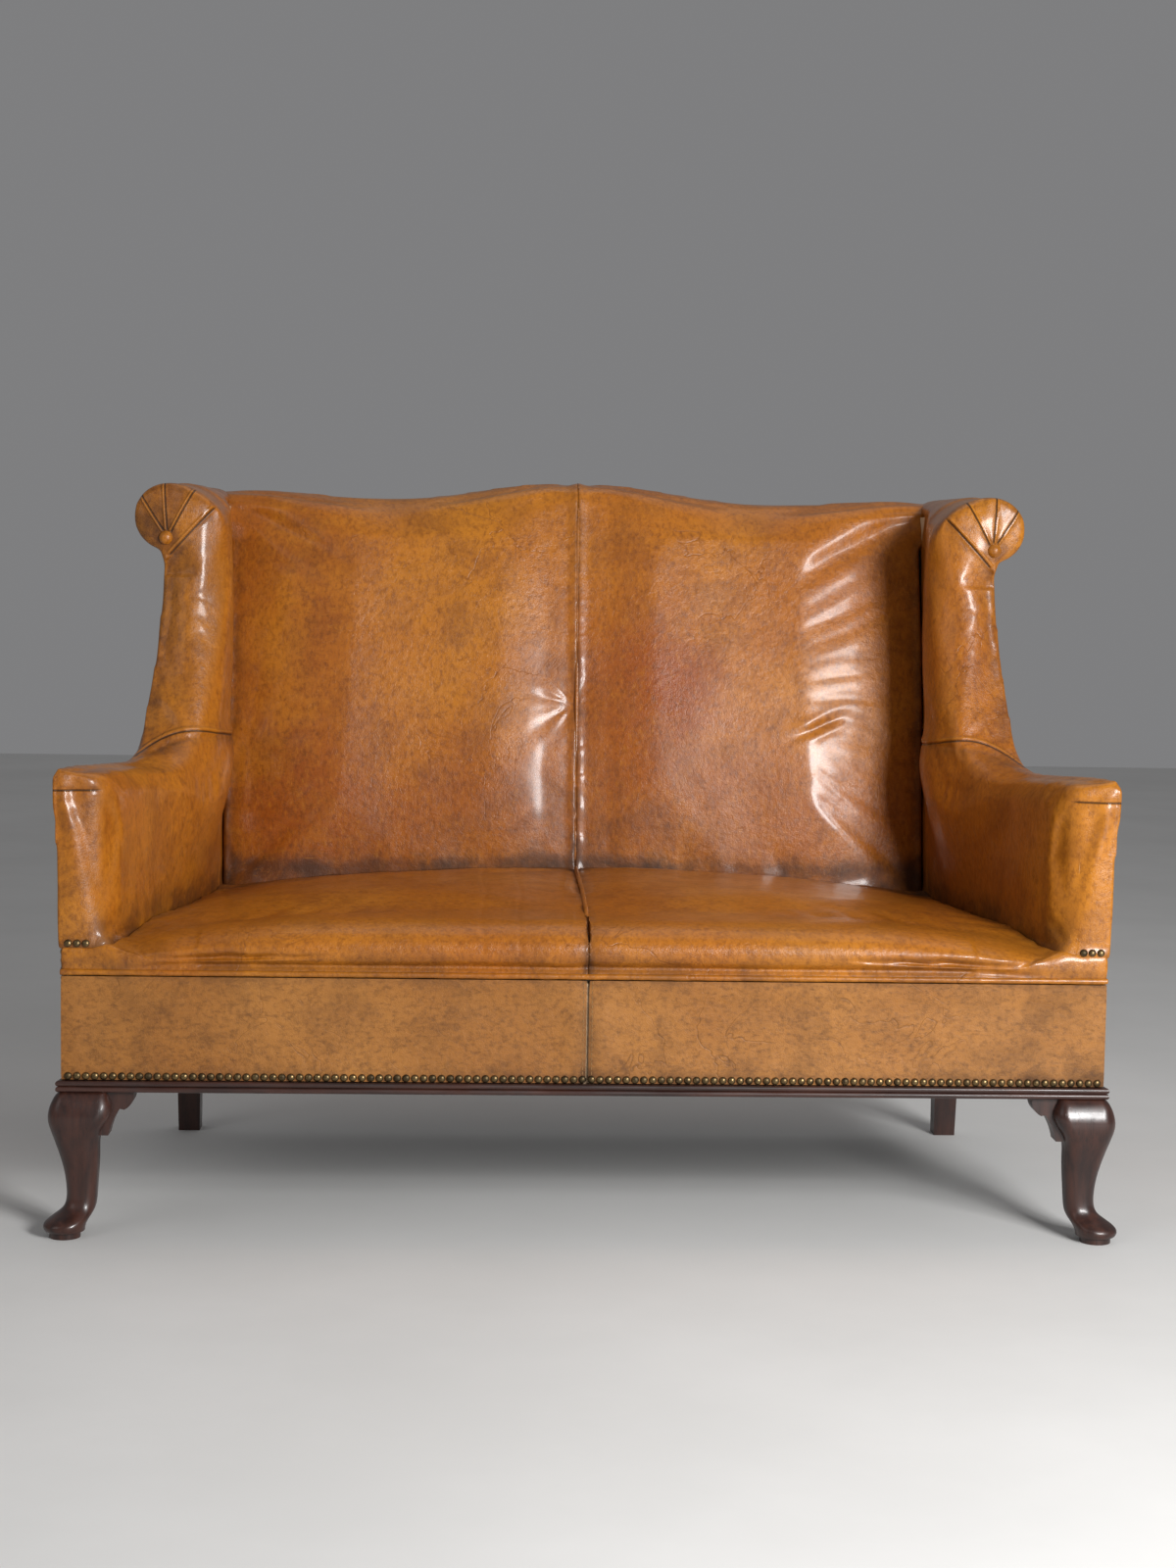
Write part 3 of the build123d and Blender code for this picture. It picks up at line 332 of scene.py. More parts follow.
class Paint:
    """One material and the nodes that it is mixed from."""

    def __init__(self, name):
        self.material = bpy.data.materials.new(name)
        self.material.use_nodes = True
        self.tree = self.material.node_tree
        self.shader = self.tree.nodes["Principled BSDF"]

    def node(self, kind, settings, inputs, out=0):
        made = self.tree.nodes.new(kind)
        for key, setting in settings.items():
            if key == "stops":
                while len(made.color_ramp.elements) < len(setting):
                    made.color_ramp.elements.new(1.0)
                for element, (place, colour) in zip(made.color_ramp.elements, setting):
                    element.position = place
                    element.color = (*colour, 1.0)
            else:
                setattr(made, key, setting)
        for key, value in inputs.items():
            self.feed(made.inputs[key], value)
        return Value(self, made.outputs[out])

    def feed(self, socket, value):
        if isinstance(value, Value):
            self.tree.links.new(value.socket, socket)
        elif isinstance(value, tuple) and socket.type == "RGBA":
            socket.default_value = (*value, 1.0)
        else:
            socket.default_value = value

    def coords(self):
        return self.node("ShaderNodeTexCoord", {}, {}, "Object")

    def split(self, kind, value):
        """The three channels of a vector or a colour."""
        first = self.node(kind, {}, {0: value})
        return [Value(self, socket) for socket in first.socket.node.outputs]

    def stretch(self, coords, scale, turn=(0.0, 0.0, 0.0)):
        return self.node("ShaderNodeMapping", {}, {"Vector": coords, "Scale": scale, "Rotation": turn})

    def cloud(self, coords, scale, detail=4.0, rough=0.55, distort=0.0):
        inputs = {"Vector": coords, "Scale": scale, "Detail": detail}
        inputs.update({"Roughness": rough, "Distortion": distort})
        return self.node("ShaderNodeTexNoise", {}, inputs, 0)

    def cells(self, coords, scale, feature="F1"):
        inputs = {"Vector": coords, "Scale": scale}
        return self.node("ShaderNodeTexVoronoi", {"feature": feature}, inputs, "Distance")

    def span(self, value, low, high, to_low=0.0, to_high=1.0):
        """Map low..high onto a range, eased and clamped."""
        inputs = {"Value": value, "From Min": low, "From Max": high}
        inputs.update({"To Min": to_low, "To Max": to_high})
        return self.node("ShaderNodeMapRange", {"interpolation_type": "SMOOTHSTEP"}, inputs)

    def mix(self, share, first, second, blend="MIX"):
        settings = {"data_type": "RGBA", "blend_type": blend}
        return self.node("ShaderNodeMix", settings, {0: share, 6: first, 7: second}, 2)

    def warp(self, coords, amount, scale):
        push_by = self.node("ShaderNodeTexNoise", {}, {"Vector": coords, "Scale": scale}, "Color")
        settings = {"operation": "MULTIPLY_ADD"}
        inputs = {0: push_by, 1: (amount, amount, amount), 2: coords}
        return self.node("ShaderNodeVectorMath", settings, inputs)

    def line(self, off, width):
        """One on a thin line where off is nothing, and none beside it."""
        return 1.0 - self.span(abs(off), 0.0, width)

    def bump(self, height, strength, distance, over=None):
        inputs = {"Height": height, "Strength": strength, "Distance": distance}
        if over:
            inputs["Normal"] = over
        return self.node("ShaderNodeBump", {}, inputs)

    def surface(self, **inputs):
        """Feed the shader: Base_Color becomes the Base Color socket."""
        for key, value in inputs.items():
            self.feed(self.shader.inputs[key.replace("_", " ")], value)
        return self.material


# Leather and other finishes
def side_seams(paint, coords):
    """Seam under the wing, tucks and hem of the fan, and fold under the arm cap: dark, raised."""
    x, y, z = paint.split("ShaderNodeSeparateXYZ", coords)
    x = abs(x)
    from_peak = x - ARCH_PEAK[0]
    arch = z - ARCH_PEAK[1] + from_peak * from_peak * ARCH_BEND
    at_wing = paint.span(y, FRONT + 0.288, FRONT + 0.302)
    dark = paint.line(arch, 0.0022) * at_wing
    raised = paint.line(arch - 0.0042, 0.0036) * at_wing
    dx, dz = x - float(BUTTON[0]), z - BUTTON[1]
    far = (dx * dx + dz * dz) ** 0.5
    turn = dz.maths("ARCTAN2", dz, dx)
    on_face = 1.0 - paint.span(y, FRONT + float(SCROLL_FRONT) + 0.014, FRONT + float(SCROLL_FRONT) + 0.03)
    hem = (x - FAN_HEM[0]) * HEM_NORMAL[0] + (z - FAN_HEM[1]) * HEM_NORMAL[1]
    on_fan = on_face * paint.span(far, 0.009, 0.013) * paint.span(hem, 0.0, 0.004)
    for angle in PLEAT_ANGLES:
        off = (turn - math.radians(angle)) * far
        dark = dark + paint.line(off - 0.0028, 0.002) * on_fan
        raised = raised + paint.line(off, 0.003) * on_fan
    along = (x - FAN_HEM[0]) * HEM_NORMAL[1] - (z - FAN_HEM[1]) * HEM_NORMAL[0]
    on_hem = on_face * paint.span(along, -0.012, -0.002) * (1.0 - paint.span(along, 0.083, 0.09))
    dark = dark + paint.line(hem, 0.0022) * on_hem
    raised = raised + paint.line(hem - 0.004, 0.0036) * on_hem
    on_front = (1.0 - paint.span(y, FRONT + 0.01, FRONT + 0.024)) * paint.span(x, 0.6, 0.615)
    dark = dark + paint.line(z - CAP_FOLD, 0.0022) * on_front
    return dark, raised


def old_leather(name, tan, deep, gold, rust, nap, gloss, dryness, seams=None):
    """Waxed hide with soft blotches, fine flecks, greasy stains, hair creases and scratches, with painted
    shade and painted highlight from its vertex marks.
    """
    paint = Paint(name)
    coords = paint.coords()
    bent = paint.warp(coords, 0.03, 5.0)
    marks_and_light = paint.node("ShaderNodeVertexColor", {"layer_name": "patina"}, {}, "Color")
    grime_and_shade, rubbed_and_highlight, red = paint.split("ShaderNodeSeparateColor", marks_and_light)

    broad = paint.cloud(bent, 2.6, 4.0, 0.55)
    blotch = paint.cloud(bent, 15.0, 6.0, 0.64, 0.3)
    fleck = paint.cloud(paint.stretch(bent, nap), 1.0, 5.0, 0.68)
    mottle = paint.cloud(bent, 110.0, 7.0, 0.72, 0.3)
    stain = paint.cloud(bent, 6.5, 10.0, 0.76, 0.4)
    colour = paint.mix(paint.span(broad, 0.36, 0.64), tan, gold)
    colour = paint.mix(paint.span(blotch, 0.42, 0.7) * 0.42, colour, deep)
    colour = paint.mix(red * paint.span(stain, 0.34, 0.6), colour, rust)
    colour = paint.mix(paint.span(mottle, 0.46, 0.66) * 0.44, colour, deep)
    colour = paint.mix(paint.span(fleck, 0.5, 0.67) * 0.4, colour, deep)
    colour = paint.mix((1.0 - paint.span(fleck, 0.3, 0.48)) * 0.4, colour, gold)
    # Stains, pushed a little further by grime and painted shade.
    stained_and_shaded = paint.span(stain + grime_and_shade * 0.3, 0.64, 0.8)
    colour = paint.mix(stained_and_shaded * 0.6, colour, deep)
    # Soot brown: the colour of grime and painted shade, of dark pinholes and of the seam lines.
    soot_and_shade = (0.03, 0.012, 0.004)
    colour = paint.mix(grime_and_shade * paint.span(blotch, 0.25, 0.65) * 0.85, colour, soot_and_shade)

    pins = paint.cells(bent, 170.0)
    pinned = paint.span(paint.cloud(coords, 4.0, 6.0, 0.72), 0.52, 0.68)
    colour = paint.mix((1.0 - paint.span(pins, 0.08, 0.2)) * pinned * 0.6, colour, soot_and_shade)
    wrinkle = paint.line(paint.cloud(bent, 11.0, 3.0, 0.55, 0.9) - 0.5, 0.012)
    wrinkled = paint.span(paint.cloud(coords, 3.6, 3.0, 0.6), 0.5, 0.64)
    crease = wrinkle * wrinkled
    colour = paint.mix(crease * 0.4, colour, deep)
    hair = paint.line(paint.cloud(bent, 30.0, 2.0, 0.5, 1.6) - 0.5, 0.009)
    hair = hair * paint.span(paint.cloud(coords, 6.0, 3.0, 0.6), 0.48, 0.62)
    colour = paint.mix(hair * 0.42, colour, gold)
    scuff_coords = paint.stretch(bent, (9.0, 9.0, 210.0), (0.0, 0.35, 0.3))
    scuff = paint.span(paint.cloud(scuff_coords, 1.0, 2.0, 0.5), 0.7, 0.75)
    scuff = scuff * paint.span(paint.cloud(coords, 7.5, 3.0), 0.56, 0.68)
    colour = paint.mix(scuff * (0.35 + 0.2 * dryness), colour, gold)
    # Wear and painted highlight lighten towards gold.
    colour = paint.mix(rubbed_and_highlight * paint.span(blotch, 0.2, 0.75) * 0.7, colour, gold)

    grain = paint.cells(paint.warp(coords, 0.003, 140.0), 420.0, "DISTANCE_TO_EDGE")
    drawn = paint.cloud(coords, 105.0, 5.0, 0.62, 0.2)
    height = paint.span(grain, 0.0, 0.3) * 0.2 + drawn * 2.0 + blotch * 0.7 - crease * 0.8 - hair * 0.3
    normal = paint.bump(height, 0.42, 0.0012)
    rough = gloss + paint.span(blotch, 0.3, 0.7) * 0.1 + stained_and_shaded * 0.08 + scuff * 0.1 + grime_and_shade * 0.14
    if seams:
        dark, raised = seams(paint, coords)
        colour = paint.mix(paint.span(raised, 0.2, 1.0) * 0.4, colour, gold)
        colour = paint.mix(paint.span(dark, 0.1, 0.9) * 0.85, colour, soot_and_shade)
        normal = paint.bump(raised - dark, 0.8, 0.0016, normal)
    return paint.surface(
        Base_Color=colour,
        Roughness=rough - rubbed_and_highlight * 0.05,
        Normal=normal,
        Specular_IOR_Level=0.34,
        Coat_Weight=0.3 - 0.26 * dryness,
        Coat_Roughness=0.15,
    )


def dark_wood(name, along):
    """Stained mahogany with its grain along one axis."""
    paint = Paint(name)
    coords = paint.coords()
    across = [34.0, 34.0, 34.0]
    across[along] = 2.6
    lines = paint.cloud(paint.stretch(paint.warp(coords, 0.012, 9.0), tuple(across)), 2.2, 6.0, 0.62)
    pore_scale = [420.0, 420.0, 420.0]
    pore_scale[along] = 16.0
    pores = paint.span(paint.cloud(paint.stretch(coords, tuple(pore_scale)), 1.0, 2.0), 0.6, 0.72)
    cloudy = paint.cloud(coords, 14.0, 5.0, 0.6)
    colour = paint.mix(paint.span(lines, 0.3, 0.7), (0.017, 0.006, 0.0045), (0.055, 0.018, 0.011))
    colour = paint.mix(paint.span(cloudy, 0.5, 0.75) * 0.55, colour, (0.016, 0.007, 0.006))
    colour = paint.mix(pores * 0.5, colour, (0.008, 0.004, 0.003))
    dust = paint.span(paint.cloud(coords, 60.0, 6.0, 0.7), 0.62, 0.8)
    colour = paint.mix(dust * 0.12, colour, (0.2, 0.12, 0.08))
    height = lines * 0.4 - pores * 0.5 + cloudy * 0.5
    return paint.surface(
        Base_Color=colour,
        Roughness=0.3 + paint.span(cloudy, 0.3, 0.7) * 0.18 + dust * 0.15,
        Normal=paint.bump(height, 0.25, 0.0008),
        Coat_Weight=0.2,
        Coat_Roughness=0.15,
    )


def old_brass(name):
    paint = Paint(name)
    coords = paint.coords()
    tarnish = paint.cloud(coords, 95.0, 5.0, 0.65)
    speck = paint.cloud(coords, 900.0, 3.0, 0.6)
    colour = paint.mix(paint.span(tarnish, 0.35, 0.68), (0.2, 0.135, 0.06), (0.05, 0.036, 0.02))
    colour = paint.mix(paint.span(speck, 0.55, 0.75) * 0.5, colour, (0.025, 0.018, 0.011))
    return paint.surface(
        Base_Color=colour,
        Metallic=0.92,
        Roughness=0.3 + paint.span(tarnish, 0.3, 0.7) * 0.22,
        Normal=paint.bump(speck, 0.2, 0.0003),
    )


def raw_beech(name):
    paint = Paint(name)
    coords = paint.coords()
    grain = paint.cloud(paint.stretch(coords, (5.0, 26.0, 26.0)), 2.0, 5.0, 0.6)
    colour = paint.mix(paint.span(grain, 0.3, 0.7), (0.46, 0.3, 0.17), (0.62, 0.45, 0.28))
    return paint.surface(Base_Color=colour, Roughness=0.7, Normal=paint.bump(grain, 0.2, 0.0006))


def woven(name, thread, gap, pitch):
    """Plain weave cloth, its threads crossing along the axes."""
    paint = Paint(name)
    coords = paint.coords()
    waves = []
    for direction in ("X", "Y", "Z"):
        settings = {"wave_type": "BANDS", "bands_direction": direction}
        waves.append(paint.node("ShaderNodeTexWave", settings, {"Vector": coords, "Scale": pitch}, 1))
    weave = waves[0] * 0.34 + waves[1] * 0.33 + waves[2] * 0.33
    slub = paint.cloud(coords, 60.0, 5.0, 0.6)
    colour = paint.mix(paint.span(weave * 0.6 + slub * 0.4, 0.25, 0.75), gap, thread)
    return paint.surface(Base_Color=colour, Roughness=0.92, Normal=paint.bump(weave, 0.4, 0.0008))


TAN = {
    "tan": (0.36, 0.108, 0.007),
    "deep": (0.12, 0.03, 0.003),
    "gold": (0.47, 0.168, 0.012),
    "rust": (0.26, 0.052, 0.004),
    "nap": (190.0, 190.0, 80.0),
    "gloss": 0.3,
    "dryness": 0.0,
}
DRY = {
    "tan": (0.28, 0.104, 0.017),
    "deep": (0.09, 0.032, 0.006),
    "gold": (0.37, 0.152, 0.03),
    "rust": (0.22, 0.065, 0.01),
    "nap": (95.0, 200.0, 200.0),
    "gloss": 0.48,
    "dryness": 1.0,
}
leather = old_leather("tan_leather", **TAN)
side_leather = old_leather("side_leather", **TAN, seams=side_seams)
dry_leather = old_leather("border_leather", **DRY)
leg_wood = dark_wood("mahogany", 2)
front_strip_wood = dark_wood("mahogany_front_strip", 0)
side_strip_wood = dark_wood("mahogany_side_strip", 1)
brass = old_brass("antique_brass")
beech = raw_beech("sawn_beech")
jute = woven("jute", (0.42, 0.29, 0.15), (0.16, 0.1, 0.05), 130.0)
calico = woven("calico", (0.62, 0.56, 0.44), (0.4, 0.35, 0.26), 260.0)
hair = woven("hair_stuffing", (0.2, 0.14, 0.09), (0.07, 0.05, 0.03), 90.0)
dust_cloth = woven("dust_cloth", (0.03, 0.029, 0.028), (0.008, 0.008, 0.008), 220.0)
thread_paint = woven("linen_thread", (0.36, 0.2, 0.075), (0.2, 0.1, 0.035), 700.0)

# CAD nodes that keep their own shape
FINISHES = {
    "mahogany": leg_wood,
    "beech": beech,
    "jute": jute,
    "calico": calico,
    "hair_stuffing": hair,
    "brass": brass,
    "dust_cloth": dust_cloth,
    "leather": leather,
    "border_leather": dry_leather,
}
for row in frame["record"]["subparts"]:
    node = frame["nodes"][row["node"]]
    finish = FINISHES[row["material_slot"]]
    if row["node"] == "front_moulding":
        finish = front_strip_wood
    elif row["node"].endswith("_moulding"):
        finish = side_strip_wood
    node.data.materials.clear()
    node.data.materials.append(finish)


# Half covers run on past the middle seam while they are softened, and are then cut off there
def half_cover(name, node, side, *fillings):
    piece = copy_of(name, node)
    choose(piece, *fillings)
    if fillings:
        bpy.ops.object.join()
    places = points(piece)
    places[places[:, 0] * side < 0.002, 0] -= side * OVERRUN
    places[places[:, 2] < SEAT_BOTTOM + 0.001, 2] -= WELT_LAP
    put(piece, places)
    soft_mesh(piece, SEAT_VOXEL)
    return piece


def cut_at_seam(piece, side):
    edit(piece)
    place, outward = (side * SEAM_GAP, 0.0, 0.0), (side, 0.0, 0.0)
    bpy.ops.mesh.bisect(plane_co=place, plane_no=outward, clear_inner=True, use_fill=True)
    done()


def push_beside_seam(piece, side, amount):
    """Push a half cover along its normals, with its cut edge kept at the seam."""
    at_seam = points(piece)[:, 0] * side < SEAM_GAP + 0.0004
    push(piece, amount)
    places = points(piece)
    places[at_seam, 0] = side * SEAM_GAP
    put(piece, places)


# Seat: two crowned halves that meet at a piped seam
NOSE_CENTRE = (0.06, 0.374)  # depth and height
NOSE_REACH = 0.065
NOSE_FOOT = 0.346
NOSE_POWER = 2.2


def filling(middle, size):
    """Block of wadding that a cover is drawn over."""
    bpy.ops.object.select_all(action="DESELECT")
    bpy.ops.mesh.primitive_cube_add(size=1.0, location=middle, scale=size)
    bpy.ops.object.transform_apply(location=True, rotation=True, scale=True)
    return bpy.context.active_object


def nose_top(x):
    """Height of the seat where its front roll ends."""
    return 0.412 - 0.024 * ease(0.36, 0.63, x) - 0.012 * x**2


def round_nose(piece, side):
    """Draw the front of the seat out to a full roll over the welt."""
    places, x, y, z = placed(piece, side)
    facing = normals(piece)
    middle = NOSE_CENTRE[1] - 0.007 * ease(0.45, 0.6, x)
    ahead, up = NOSE_CENTRE[0] - y, z - middle
    far = np.maximum(np.hypot(ahead, up), 1e-6)
    height = np.where(up > 0.0, nose_top(x) - middle, middle - NOSE_FOOT)
    level = (np.abs(ahead) / far / NOSE_REACH) ** NOSE_POWER
    plumb = (np.abs(up) / far / height) ** NOSE_POWER
    reach = (level + plumb) ** (-1.0 / NOSE_POWER)
    outer = ease(-0.1, 0.3, (facing[:, 2] * up - facing[:, 1] * ahead) / far)
    share = outer * ease(0.64, 0.53, x) * ease(SEAT_BOTTOM - 0.003, SEAT_BOTTOM + 0.005, z)
    drawn = share * (ahead > 0.0)
    places[:, 1] += drawn * (ahead - ahead / far * reach)
    places[:, 2] += drawn * (up / far * reach - up)
    short = nose_top(x) + 0.03 * (y - NOSE_CENTRE[0]) - z
    rise = 0.003 * np.log1p(np.exp(np.clip(short / 0.003, -20.0, 20.0)))
    places[:, 2] += rise * share * ease(0.28, 0.14, y) * (ahead <= 0.0) * (z > NOSE_CENTRE[1])
    put(piece, places)
    smooth_some(piece, (np.abs(y - NOSE_CENTRE[0]) < 0.03) & (z > 0.38) & (x < 0.6), 4)
    smooth_some(piece, (x > 0.5) & (x < 0.65) & (y < 0.08) & (z > 0.352), 14)


def seat_half(side, name):
    node = name + "_seat_cover"
    ear = filling((side * 0.634, FRONT + 0.0068, 0.361), (0.078, 0.0096, 0.029))
    piece = half_cover(name + "_seat", node, side, ear)
    places, x, y, z = placed(piece, side)
    held = (z < SEAT_BOTTOM + 0.012) | (x < 0.008) | (y > SEAT_REAR) | (x > 0.6)
    swell(piece, held, 0.005, 4.0, 0.011)
    smooth(piece, 2)
    refine(piece)
    cut_at_seam(piece, side)
    places, x, y, z = placed(piece, side)
    places[:, 1] += 0.014 * ease(0.47, SEAT_REAR, y)
    places[:, 2] += 0.003 * ease(0.6, 0.615, x) * ease(0.372, 0.375, z) * ease(0.07, 0.05, y)
    beside_arm = bell(x - (ARM_INSIDE - y * ARM_TAPER), 0.016) * ease(0.36, 0.37, z)
    places[:, 0] += side * 0.003 * beside_arm
    places[:, 2] += 0.005 * beside_arm
    put(piece, places)
    round_nose(piece, side)
    places, x, y, z = placed(piece, side)
    up = ease(0.1, 0.7, normals(piece)[:, 2])
    roll = ripple(places, 6.0, 2.0 + side) * 0.0016 + ripple(places, 22.0, 5.0 + side) * 0.0005
    gather = ripple(places * np.array([1.0, 0.16, 0.2]), 46.0, 3.0 + side)
    roll += gather * 0.0012 * ease(0.42, 0.5, y) * up
    tug = ripple(places * np.array([0.25, 1.0, 0.2]), 40.0, 8.0 + side)
    roll += tug * 0.0014 * ease(0.44, 0.56, x) * up
    roll -= (0.0022 * bell(x, 0.012) + 0.0005 * bell(x, 0.004)) * (0.85 + 0.3 * ripple(places, 30.0, 4.0))
    if side < 0:
        for line in (0.136, 0.088):
            roll -= 0.0006 * bell(x - line - 0.003 * np.sin(y * 21.0), 0.003)
    push_beside_seam(piece, side, roll * ease(SEAT_BOTTOM + 0.002, SEAT_BOTTOM + 0.012, z))
    # Painted shade and grime: darker where the seat meets the back, at the middle seam, beside the arms,
    # at the welt and low on the front roll.
    grime_and_shade = 0.75 * ease(0.47, 0.515, y) * up + 0.65 * bell(x, 0.008)
    grime_and_shade += 0.5 * bell(x - (ARM_INSIDE - y * ARM_TAPER), 0.016) * ease(0.05, 0.1, y)
    grime_and_shade += 0.3 * bell(z - SEAT_BOTTOM, 0.012) + 0.16 * ease(0.4, 0.36, z)
    # Painted highlight and wear: lighter on the top of the front roll.
    wear_and_highlight = 0.34 * bell(y - 0.04, 0.05) * up
    patina(piece, grime_and_shade, wear_and_highlight, 0.25 * bell(x - 0.25, 0.2) * bell(y - 0.33, 0.2))
    finish_piece(piece, leather, "leather", node)


# Back: two tall pads drawn in at the middle seam, with one pulled dimple
DIMPLE = (-0.006, 0.667)
DENT = (0.362, 0.636, 0.036, 24.0)  # place, half length and slope


def back_half(side, name):
    node = name + "_back_cover"
    piece = half_cover(name + "_back", node, side)
    places, x, y, z = placed(piece, side)
    facing = normals(piece)[:, 1]
    held = (facing > 0.3) | (x < 0.008) | (z < 0.395) | (x > BACK_HALF - 0.006)
    swell(piece, held, 0.005, 4.0, 0.011)
    smooth(piece, 2)
    refine(piece)
    cut_at_seam(piece, side)
    places, x, y, z = placed(piece, side)
    front = ease(0.2, 0.8, -normals(piece)[:, 1])
    places[:, 1] -= 0.0052 * ease(0.055, 0.002, x) * front
    places[:, 0] += side * 0.04 * ease(0.9, 0.955, z) * ease(0.47, BACK_HALF, x)
    put(piece, places)
    roll = ripple(places, 5.0, 11.0 + side) * 0.0018 + ripple(places, 19.0, 13.0 + side) * 0.0006
    roll -= 0.0007 * bell(x, 0.004)
    roll += 0.006 * bell(x - 0.2, 0.15) * bell(z - 0.62, 0.22) * front * (1.0 if side > 0 else 0.4)
    across, over = places[:, 0] - DIMPLE[0], z - DIMPLE[1]
    far = np.hypot(across, over)
    turn = np.arctan2(over, across)
    roll -= 0.0062 * np.exp(-far / 0.026) * front
    star = np.cos(turn * 9.0 + 1.3) + 0.6 * np.cos(turn * 14.0 + 0.4)
    reach = 0.05 if side < 0 else 0.03
    roll += star * 0.0006 * ease(0.006, 0.02, far) * np.exp(-far / reach) * front
    if side > 0:
        lean = math.radians(DENT[3])
        run = (x - DENT[0]) * math.cos(lean) + (z - DENT[1]) * math.sin(lean)
        off = (z - DENT[1]) * math.cos(lean) - (x - DENT[0]) * math.sin(lean)
        dent = 0.0026 * bell(off, 0.0065)
        dent = dent - 0.0013 * bell(off - 0.013, 0.007) - 0.0009 * bell(off + 0.013, 0.007)
        roll -= dent * bell(run, DENT[2]) * front
    pleat = ripple(places * np.array([1.0, 0.2, 0.14]), 44.0, 15.0 + side)
    roll += pleat * 0.0005 * ease(0.49, 0.43, z) * front
    pull = ripple(places * np.array([0.3, 0.3, 1.0]), 36.0, 18.0 + side)
    roll += pull * 0.0012 * ease(0.45, 0.52, x) * front
    push_beside_seam(piece, side, roll)
    # Painted shade and grime: darker at the foot of the back, at the middle seam, beside the wings, round
    # the dimple and low towards the middle seam.
    grime_and_shade = 0.85 * ease(0.455, 0.42, z) * front + 0.5 * bell(x, 0.006) * front
    grime_and_shade += 0.6 * ease(0.495, 0.522, x) * front + 0.45 * bell(far, 0.03) * (1.0 if side > 0 else 0.3)
    grime_and_shade += 0.4 * ease(0.62, 0.48, z) * ease(0.3, 0.0, x) * front
    red = 0.45 * bell(x - 0.42, 0.12)
    if side > 0:
        red = 0.9 * bell(x - 0.13, 0.12) * bell(z - 0.7, 0.12)
    red = red + 0.35 * ease(0.7, 0.5, z)
    patina(piece, grime_and_shade, 0.25 * bell(z - 0.97, 0.03), red * front)
    finish_piece(piece, leather, "leather", node)


# Sides: the arm, the wing and its scroll run into each other, with a seam under the wing
def barrel(y, z):
    """Inside of the arm, swelling out to the wing."""
    swelling = 0.047 * ease(0.385, 0.6, z) * ease(0.19, 0.4, y) * (1.0 - 0.85 * ease(0.42, 0.53, y))
    return ARM_INSIDE - 0.001 - ARM_TAPER * y - swelling


